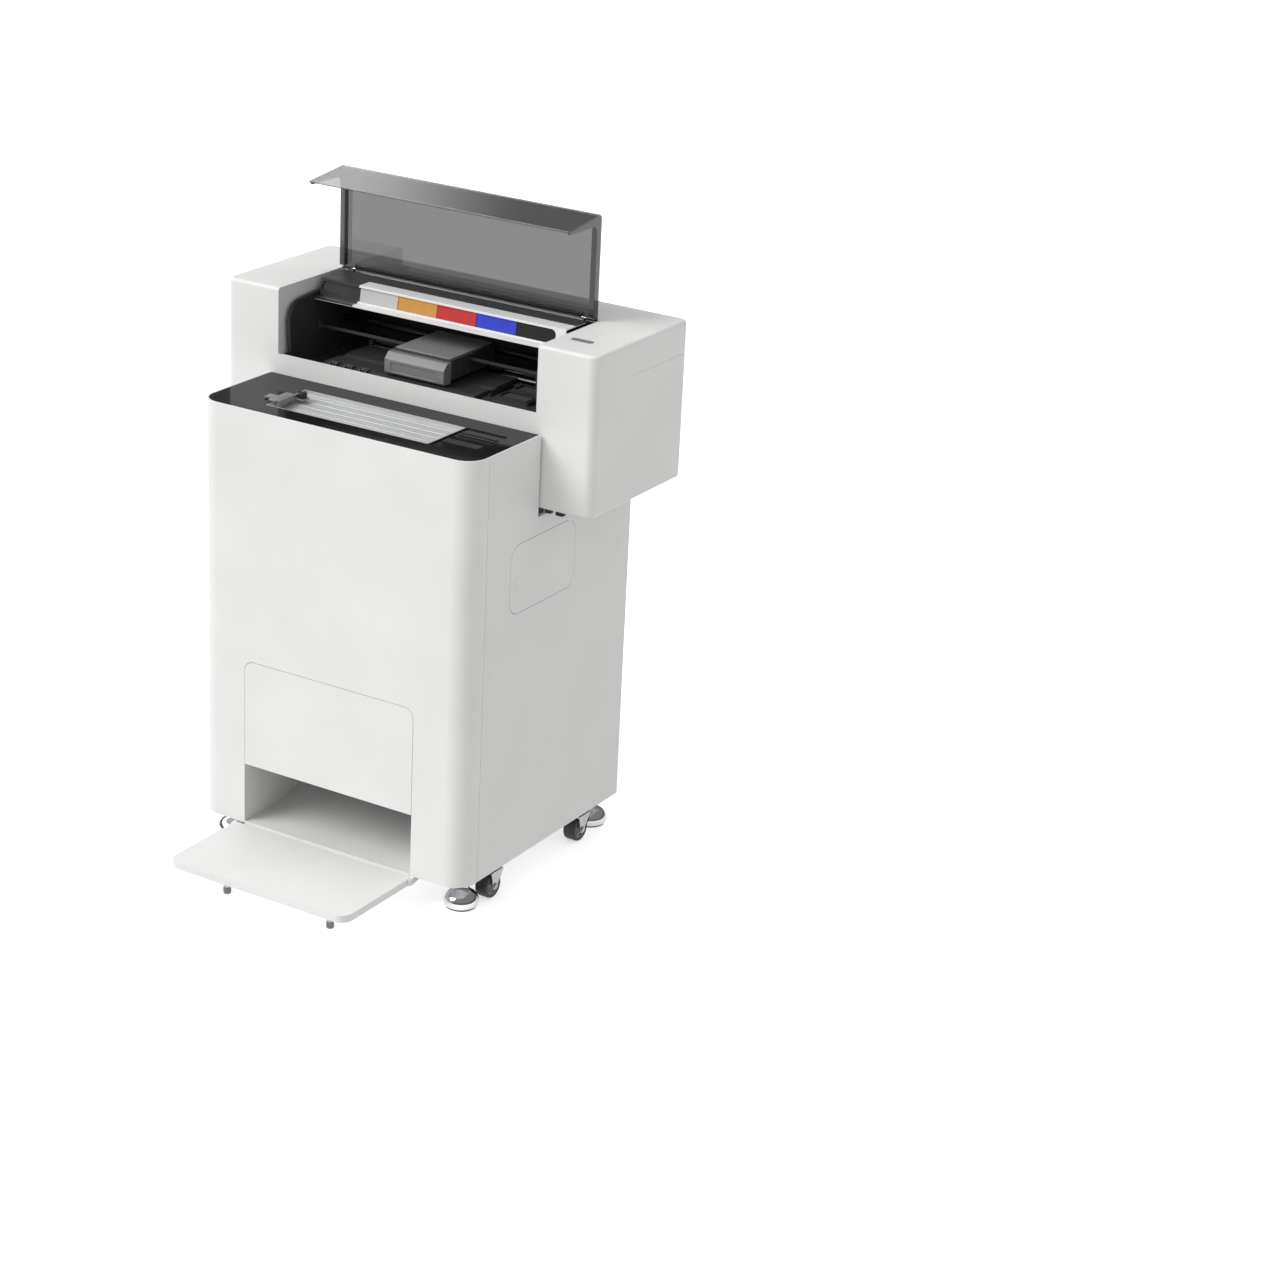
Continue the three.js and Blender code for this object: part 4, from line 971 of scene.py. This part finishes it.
def capping_station():
    low, high = span("capping_station")
    deck = high.z - 7
    base = block("capping_base", low.x, high.x, low.y, high.y, low.z, deck, 3)
    weld(base, block("step", low.x + 60, high.x, low.y + 112, high.y - 2, deck - 1, deck + 6, 2))
    for y0, y1 in ((100, 140), (150, 190)):
        weld(base, block("cap", 170, 240, y0, y1, deck - 1, high.z, 4))
    for y0, y1 in ((104, 136), (154, 186)):
        cut(base, block("well", 175, 235, y0, y1, high.z - 4, high.z + 5, 3))
    place(base, "dark_body", "matt_black", "capping_station", soft=(0.7, 2))
    seals, pads = [], []
    for y0, y1 in ((102, 138), (152, 188)):
        seal = prism("seal", rounded(173, y0, 237, y1, 3.5), "z", high.z - 0.4, high.z + 1.4)
        cut(seal, prism("inside", rounded(176, y0 + 3, 234, y1 - 3, 2.5), "z", high.z - 3, high.z + 5))
        seals.append(seal)
        pads.append(block("pad", 176.5, 233.5, y0 + 3, y1 - 3, high.z - 4, high.z - 1.6))
    seals = merge("cap_seals", seals)
    place(seals, "rubber", "black_rubber", soft=(0.4, 2))
    place(merge("cap_foam", pads), "foam", "matt_black")
    wiper = block("wiper_blade", 152, 153.4, 110, 180, deck - 1, high.z + 0.6)
    weld(wiper, block("clamp", 149.6, 155.8, 106, 184, deck - 1, deck + 4))
    place(wiper, "rubber", "black_rubber", soft=(0.3, 2))


def rails():
    low, high = span("carriage_rod")
    r = (high.z - low.z) / 2
    profile = [(0, low.x), (r - 0.6, low.x), (r, low.x + 0.6), (r, high.x - 0.6), (r - 0.6, high.x),
               (0, high.x)]
    centre = (0, *middle("carriage_rod")[1:])
    place(lathe("carriage_rail", profile, "x", centre, 40), "dark_steel", "ground_steel", "carriage_rod")
    strip = block("encoder_strip", -271.6, 271.6, 166.4, 167, 944, 950)
    place(strip, "dark_body", "grey_plastic")
    hooks = [block("hook", *mirrored(side, 266, 272.8), 162, 171, 938, 956, 2) for side in (-1, 1)]
    hooks = merge("encoder_strip_hooks", hooks)
    place(hooks, "dark_body", "matt_black", soft=(0.5, 2))


def carriage():
    low, high = span("carriage_body")
    left, right, front, rear, bottom, top = low.x, high.x, low.y, 252.0, 920.2, high.z
    rod_y, rod_z = middle("carriage_rod")[1:]
    body = block("carriage_shell", left, right, front, rear, bottom, top, 5)
    weld(body, block("bearing", left + 10, right - 10, rear - 1, rod_y + 11, rod_z - 11, rod_z + 11, 4, "x"))
    cut(body, rod("bore", 6.4, left - 5, right + 5, "x", (0, rod_y, rod_z), 32))
    cut(body, block("strip_slot", left - 5, right + 5, 165, 168.4, 920, 952))
    for x in (left - 3, right - 1.2):
        cut(body, block("flute", x, x + 4.2, front + 8, front + 30, bottom + 6, top - 8))
        cut(body, block("flute", x, x + 4.2, front + 38, rear - 12, bottom + 6, top - 8))
    place(body, "dark_body", "matt_black", "carriage_body", body="carriage", soft=(1.4, 4))
    heads = []
    for x in (-40, 20):
        heads.append(block("head", x, x + 32, 105, 200, low.z, bottom + 1, 1.5))
        heads.append(block("nozzle_plate", x + 2, x + 30, 108, 197, low.z - 0.3, low.z + 0.4))
    place(merge("print_heads", heads), "steel", "ground_steel", body="carriage")
    lid_low, lid_high = left + 5, right - 5
    hatch = block("carriage_hatch", lid_low, lid_high, front + 4, rear - 6, top - 0.4, top + 2.2, 5)
    place(hatch, "grey_plastic", "grey_plastic", body="carriage", soft=(0.9, 3))
    lamp = [(0, top + 1.9), (1.5, top + 1.9), (1.5, top + 2.6), (1.1, top + 3), (0, top + 3.1)]
    lights = []
    for i in range(6):
        for shift, y in ((0, front + 46), (6, front + 58)):
            lights.append(lathe("lamp", lamp, "z", (lid_low + 18 + i * 13 + shift, y, 0), 16))
    place(merge("carriage_lamps", lights), "copper_red", "grey_plastic", body="carriage")

    low, high = span("carriage_cap")
    z0, z1 = low.z, high.z
    side = [(low.y + 4, z0), (high.y, z0), (high.y, z1), (low.y + 12, z1), (low.y + 1, z1 - 11),
            (low.y, z1 - 13), (low.y, z0 + 4)]
    cap = prism("carriage_front_cap", side, "x", low.x, high.x)
    recess = rounded(low.x + 14, z0 + 6, high.x - 14, z1 - 17, 4)
    cut(cap, prism("recess", recess, "y", low.y - 5, low.y + 1.4))
    place(cap, "pale_grey", "grey_plastic", "carriage_cap", body="carriage", soft=(1.3, 4))


def belt_drive():
    low, high = span("drive_belt")
    y = middle("drive_belt")[1]
    r, x = (high.y - low.y) / 2, high.x - (high.y - low.y) / 2
    inner_r = r - 1.0
    outer, inner = (arc(x, y, a, -90, 90, 20) + arc(-x, y, a, 90, 270, 20) for a in (r, inner_r))
    band = prism("belt_band", outer, "z", low.z, high.z)
    cut(band, prism("inside", inner, "z", low.z - 4, high.z + 4))
    place(band, "rubber", "black_rubber", "drive_belt")
    teeth = []
    for i in range(int(2 * x / 4)):
        tooth_x = -x + 2 + i * 4
        for side in (-1, 1):
            y0, y1 = mirrored(side, inner_r - 0.6, inner_r + 0.2, y)
            teeth.append(block("tooth", tooth_x - 0.9, tooth_x + 0.9, y0, y1, low.z, high.z))
    place(merge("belt_teeth", teeth), "rubber", "black_rubber")
    for node in ("drive_pulley", "idler_pulley"):
        low, high = span(node)
        cx, cy = middle(node)[:2]
        r, z0, z1 = (high.x - low.x) / 2, low.z, high.z
        ring = []
        for i in range(48):
            turn, reach = math.pi * i / 24, r - 3 if (i // 2) % 2 else r - 3 - 0.7
            ring.append((cx + reach * math.cos(turn), cy + reach * math.sin(turn)))
        pulley = prism("teeth", ring, "z", z0 + 1.4, z1 - 1.4)
        for a, b in ((z0, z0 + 1.6), (z1 - 1.6, z1)):
            rim = [(0, a), (r - 0.4, a), (r, a + 0.4), (r, b - 0.4), (r - 0.4, b), (0, b)]
            weld(pulley, lathe("rim", rim, "z", (cx, cy, 0), 40))
        pulley.name = node + "_wheel"
        place(pulley, "zinc", "zinc_plate", node, body=node)
    low, high = span("belt_motor")
    r = (high.x - low.x) / 2
    can = [(0, low.z), (r - 1, low.z), (r, low.z + 1), (r, 917), (r - 1, 918), (r - 1, 920), (7, 920),
           (6.4, 923), (2.4, 923), (2.4, high.z), (0, high.z)]
    motor = lathe("belt_motor_can", can, "z", (*middle("belt_motor")[:2], 0), 48)
    place(motor, "dark_body", "matt_black", "belt_motor")


# ---- ink bay
# The bay's shape, its windows' places in x and where the dark strip on its top begins in y.
BAY = {"ledge": 1005.0, "face": 166.0, "lean": 5.5, "first": -270.0, "pitch": 87.0, "strip": 204.0}


def ink_bay_cover():
    low, high = span("ink_bay_cover")
    ledge, face, lean, top = BAY["ledge"], BAY["face"], BAY["lean"], high.z
    channel = [(low.y, ledge - 4.5), (high.y, ledge - 4.5), (high.y, ledge), (face + 2.6, ledge),
               (face + 2.6 + lean - 0.5, top - 2.5), (high.y, top - 2.5), (high.y, top), (face + lean, top),
               (face, ledge), (low.y, ledge)]
    cover = prism("ink_bay_shell", channel, "x", low.x, high.x)
    x0, x1 = BAY["first"] + 2, BAY["first"] + 6 * BAY["pitch"] - 2
    window = rounded(x0, ledge + 3, x1, top - 4.5, 10, 12)
    cut(cover, prism("window", window, "y", face - 10, face + 12))
    place(cover, "white_plastic", "white_plastic", "ink_bay_cover", soft=(0.8, 3))
    # The dark sheet over the face, ledge and top of the bay's left end is painted shade, the shade that
    # falls over that end of the bay; the strip along the back of the top is dark as well.
    shade_end, strip = x0 + BAY["pitch"] - 3, BAY["strip"]
    face_shade = [(face - 0.5, ledge + 0.2), (face + 2, ledge + 0.2), (face + lean + 3, top - 3),
                 (face + lean + 3, top + 0.4), (face + lean - 0.5, top + 0.4)]
    trim = prism("bay_end_shade_and_strip", face_shade, "x", low.x, shade_end)
    cut(trim, prism("window", window, "y", face - 10, face + 12))
    weld(trim, block("ledge", low.x, shade_end, low.y - 0.5, face - 0.4, ledge - 3, ledge + 0.5))
    weld(trim, block("top", low.x, shade_end, face + lean + 1, strip, top - 1, top + 0.4))
    weld(trim, block("strip", low.x, high.x, strip - 1, high.y, top - 1, top + 1.2))
    place(trim, "dark_body", "matt_black", soft=(0.4, 2))


def ink_tanks():
    for name in INKS:
        node = "ink_tank_" + name
        low, high = span(node)
        lean = BAY["lean"] - 0.6
        side = [(low.y, low.z), (high.y, low.z), (high.y, high.z), (low.y + lean, high.z)]
        tank = prism(node + "_shell", side, "x", low.x, high.x)
        place(tank, "ink_" + name, "ink_" + name, node, soft=(1.2, 4))


def lid_hinge_rail():
    front = span("lid_hinge_rail")[0].y
    half = span("ink_bay_cover")[1].x
    pivot_y, pivot_z = LID["pivot"]
    beam = block("hinge_beam", -half, half, front, 249, 1002, 1037, [0, 0, 4, 4], "x")
    for side in (-1, 1):
        ear = [(240, 1010), (248, 1010), (pivot_y + 0.6, pivot_z - 5), (pivot_y + 0.6, pivot_z + 0.6),
               (pivot_y - 4, pivot_z + 0.6), (pivot_y - 8, 1034), (240, 1034)]
        weld(beam, prism("ear", ear, "x", *mirrored(side, 255, 259)))
    place(beam, "matt_black", "matt_black", "lid_hinge_rail", soft=(0.8, 3))
    pins = []
    for side in (-1, 1):
        pins.append(rod("pin", 1.5, *mirrored(side, 254, 278.5), "x", (0, pivot_y, pivot_z), 20))
        pins.append(rod("head", 3, *mirrored(side, 252.4, 255), "x", (0, pivot_y, pivot_z), 24))
    place(merge("lid_hinge_pins", pins), "steel", "ground_steel")


# ---- lid
# The open lid's sections in (y, z): its sheet, curved lip, end frames and hinge pin.
LID = {"outer": 259.0, "tip": 146.0, "thick": 3.0, "bend": 10.0, "drop": 12.0, "end": 20.0, "foot": 1039.0,
       "frame": (11.0, 15.0), "frame_foot": 1046.0, "pivot": (255.0, 1040.0)}


def lid_sheet_outline(top):
    outer, tip, thick, bend, drop = LID["outer"], LID["tip"], LID["thick"], LID["bend"], LID["drop"]
    cy, cz = outer - bend, top - bend
    outline = [(outer, LID["foot"])] + arc(cy, cz, bend, 0, 90, 12)
    outline += [(tip + 1, top - drop + 0.1), (tip, top - drop - 1), (tip, top - drop - thick)]
    return outline + arc(cy, cz, bend - thick, 90, 0, 12) + [(outer - thick, LID["foot"])]


def lid_frame_outline(top):
    outer, depth = LID["outer"], LID["frame"][1]
    outline = [(outer - 1, LID["frame_foot"]), (outer - 1, top - 14), (outer - 14, top - 5)]
    return outline + arc(outer - depth - 12, top - 24, 12, 80, 0, 8) + [(outer - depth, LID["frame_foot"])]


def lip_end_outline(top):
    outer, tip, drop, depth = LID["outer"], LID["tip"], LID["drop"], LID["end"]
    return [(outer - 4, top - 40), (outer - 4, top - 8), (outer - 10, top - 2), (tip + 2, top - drop - 1),
            (tip + 6, top - depth), (outer - 26, top - depth), (outer - 18, top - depth - 5),
            (outer - 15, top - 40)]


def lid():
    high = span("lid")[1]
    half, thick, top = high.x, LID["thick"], high.z
    pivot = (0, *LID["pivot"])
    sheet = prism("lid_shell", lid_sheet_outline(top), "x", -half, half)
    for side in (-1, 1):
        weld(sheet, rod("knuckle", 3, *mirrored(side, 261, half), "x", pivot, 24))
        cut(sheet, rod("bore", 1.8, *mirrored(side, 250, half + 5), "x", pivot, 20))
    place(sheet, "smoked_lid", "smoked_lid", "lid", body="lid", soft=(0.5, 2))
    edge = [(y - 2.4, z) if y > LID["outer"] - 5 else (y, z) for y, z in lid_frame_outline(top)]
    frames = []
    for side in (-1, 1):
        frame_bar = prism("frame", edge, "x", *mirrored(side, half, half - LID["frame"][0]))
        weld(frame_bar, prism("lip_end", lip_end_outline(top), "x", *mirrored(side, half, half - thick)))
        frames.append(frame_bar)
    y0, y1, foot = LID["outer"] - 6.4, LID["outer"] - thick + 0.2, pivot[2]
    frames.append(block("base_bar", -253.4, 253.4, y0, y1, foot + 1.4, foot + 9.4))
    frames = merge("lid_edge_frames", frames)
    place(frames, "smoked_frame", "smoked_lid", body="lid", soft=(0.6, 2))


# ---- making everything
for make in (front_fascia, outlet_panel, side_panels, side_door, deck_panel, rear_panel, power_inlet,
             power_switch, output_chute, output_tray, base_plate, top_panel, film_trough, entry_roller,
             film_guide, inner_works):
    make()
for corner in ("front_left", "front_right", "rear_left", "rear_right"):
    caster(corner)
    levelling_foot(corner)
for make in (printer_housing, printer_rear, printer_feet, overhang_buffers, power_button, chamber_liner,
             platen, rollers, star_wheels, capping_station, rails, carriage, belt_drive, ink_bay_cover,
             ink_tanks, lid_hinge_rail, lid):
    make()


# ---- floor, light and camera
def floor():
    """Pale floor that glows, so that it looks as white as the studio; soft light doesn't see it."""
    material, tree, bsdf = shader("studio_floor")
    tint = blend_colors(tree, noise(tree, 0.8, 3), (0.93, 0.93, 0.93), (0.96, 0.96, 0.96))
    tree.links.new(tint, bsdf.inputs["Base Color"])
    set_sockets(bsdf, {"Roughness": 0.9, "Specular IOR Level": 0.1, "Emission Color": (1, 1, 1, 1),
                       "Emission Strength": 0.55})
    reach, height = 9.0, -0.0004
    corners = [(-reach, -reach), (reach, -reach), (reach, reach), (-reach, reach)]
    bm = bmesh.new()
    bm.faces.new([bm.verts.new((x, y, height)) for x, y in corners])
    obj = to_object("studio_floor", bm)
    obj.data.materials.append(material)
    obj.visible_diffuse = False


# Strength of the white studio for the camera, for soft light and in reflections away from the panel.
SKY, SOFT_SKY, DARK_SKY = 1.05, 0.65, 0.16


def soft_ramp(tree, *limits):
    node = ramp(tree, *limits)
    node.interpolation_type = "SMOOTHSTEP"
    return node.outputs["Result"]


def multiply_add(tree):
    node = tree.nodes.new("ShaderNodeMath")
    node.operation = "MULTIPLY_ADD"
    return node


def softbox(tree):
    """What shiny things see, less SKY: a dark studio with one bright panel high up behind on the left."""
    split = tree.nodes.new("ShaderNodeSeparateXYZ")
    tree.links.new(tree.nodes.new("ShaderNodeTexCoord").outputs["Generated"], split.inputs[0])
    panel = multiply_add(tree)
    tree.links.new(soft_ramp(tree, split.outputs["Z"], 0.33, 0.39, 0.0, 2.0), panel.inputs[0])
    tree.links.new(soft_ramp(tree, split.outputs["X"], -0.58, -0.52, 1.0, 0.05), panel.inputs[1])
    panel.inputs[2].default_value = DARK_SKY - SKY
    return panel.outputs["Value"]


def world():
    """SKY, plus a change for rays of soft light and another for reflections."""
    scene_world = bpy.data.worlds.new("studio")
    bpy.context.scene.world = scene_world
    scene_world.use_nodes = True
    tree = scene_world.node_tree
    background = tree.nodes["Background"]
    background.inputs["Color"].default_value = (1, 1, 1, 1)
    paths = tree.nodes.new("ShaderNodeLightPath")
    soft = multiply_add(tree)
    soft.inputs[1].default_value = SOFT_SKY - SKY
    soft.inputs[2].default_value = SKY
    tree.links.new(paths.outputs["Is Diffuse Ray"], soft.inputs[0])
    shiny = multiply_add(tree)
    tree.links.new(softbox(tree), shiny.inputs[1])
    tree.links.new(paths.outputs["Is Glossy Ray"], shiny.inputs[0])
    tree.links.new(soft.outputs["Value"], shiny.inputs[2])
    tree.links.new(shiny.outputs["Value"], background.inputs["Strength"])


def sun():
    light = bpy.data.lights.new("key", "SUN")
    light.energy = 1.92
    light.angle = math.radians(35)
    obj = bpy.data.objects.new("key", light)
    obj.rotation_euler = Vector((0.60, 0.70, -0.80)).to_track_quat("-Z", "Y").to_euler()
    bpy.context.collection.objects.link(obj)


def camera():
    data = bpy.data.cameras.new("camera")
    obj = bpy.data.objects.new("camera", data)
    eye = Vector((3.0419, -4.3183, 2.5505))
    yaw, pitch, roll = (math.radians(a) for a in (29.948, 21.721, 2.939))
    forward = Vector((-math.sin(yaw) * math.cos(pitch), math.cos(yaw) * math.cos(pitch), -math.sin(pitch)))
    side = forward.cross(Vector((0, 0, 1))).normalized()
    upward = side.cross(forward)
    across = side * math.cos(roll) + upward * math.sin(roll)
    above = upward * math.cos(roll) - side * math.sin(roll)
    data.sensor_width = 36
    data.lens = 85.936
    data.clip_end = 100
    turn = Matrix((across, above, -forward)).transposed().to_4x4()
    obj.matrix_world = Matrix.Translation(eye) @ turn
    bpy.context.collection.objects.link(obj)
    bpy.context.scene.camera = obj


floor()
world()
sun()
camera()
bpy.context.scene.view_settings.view_transform = "Standard"
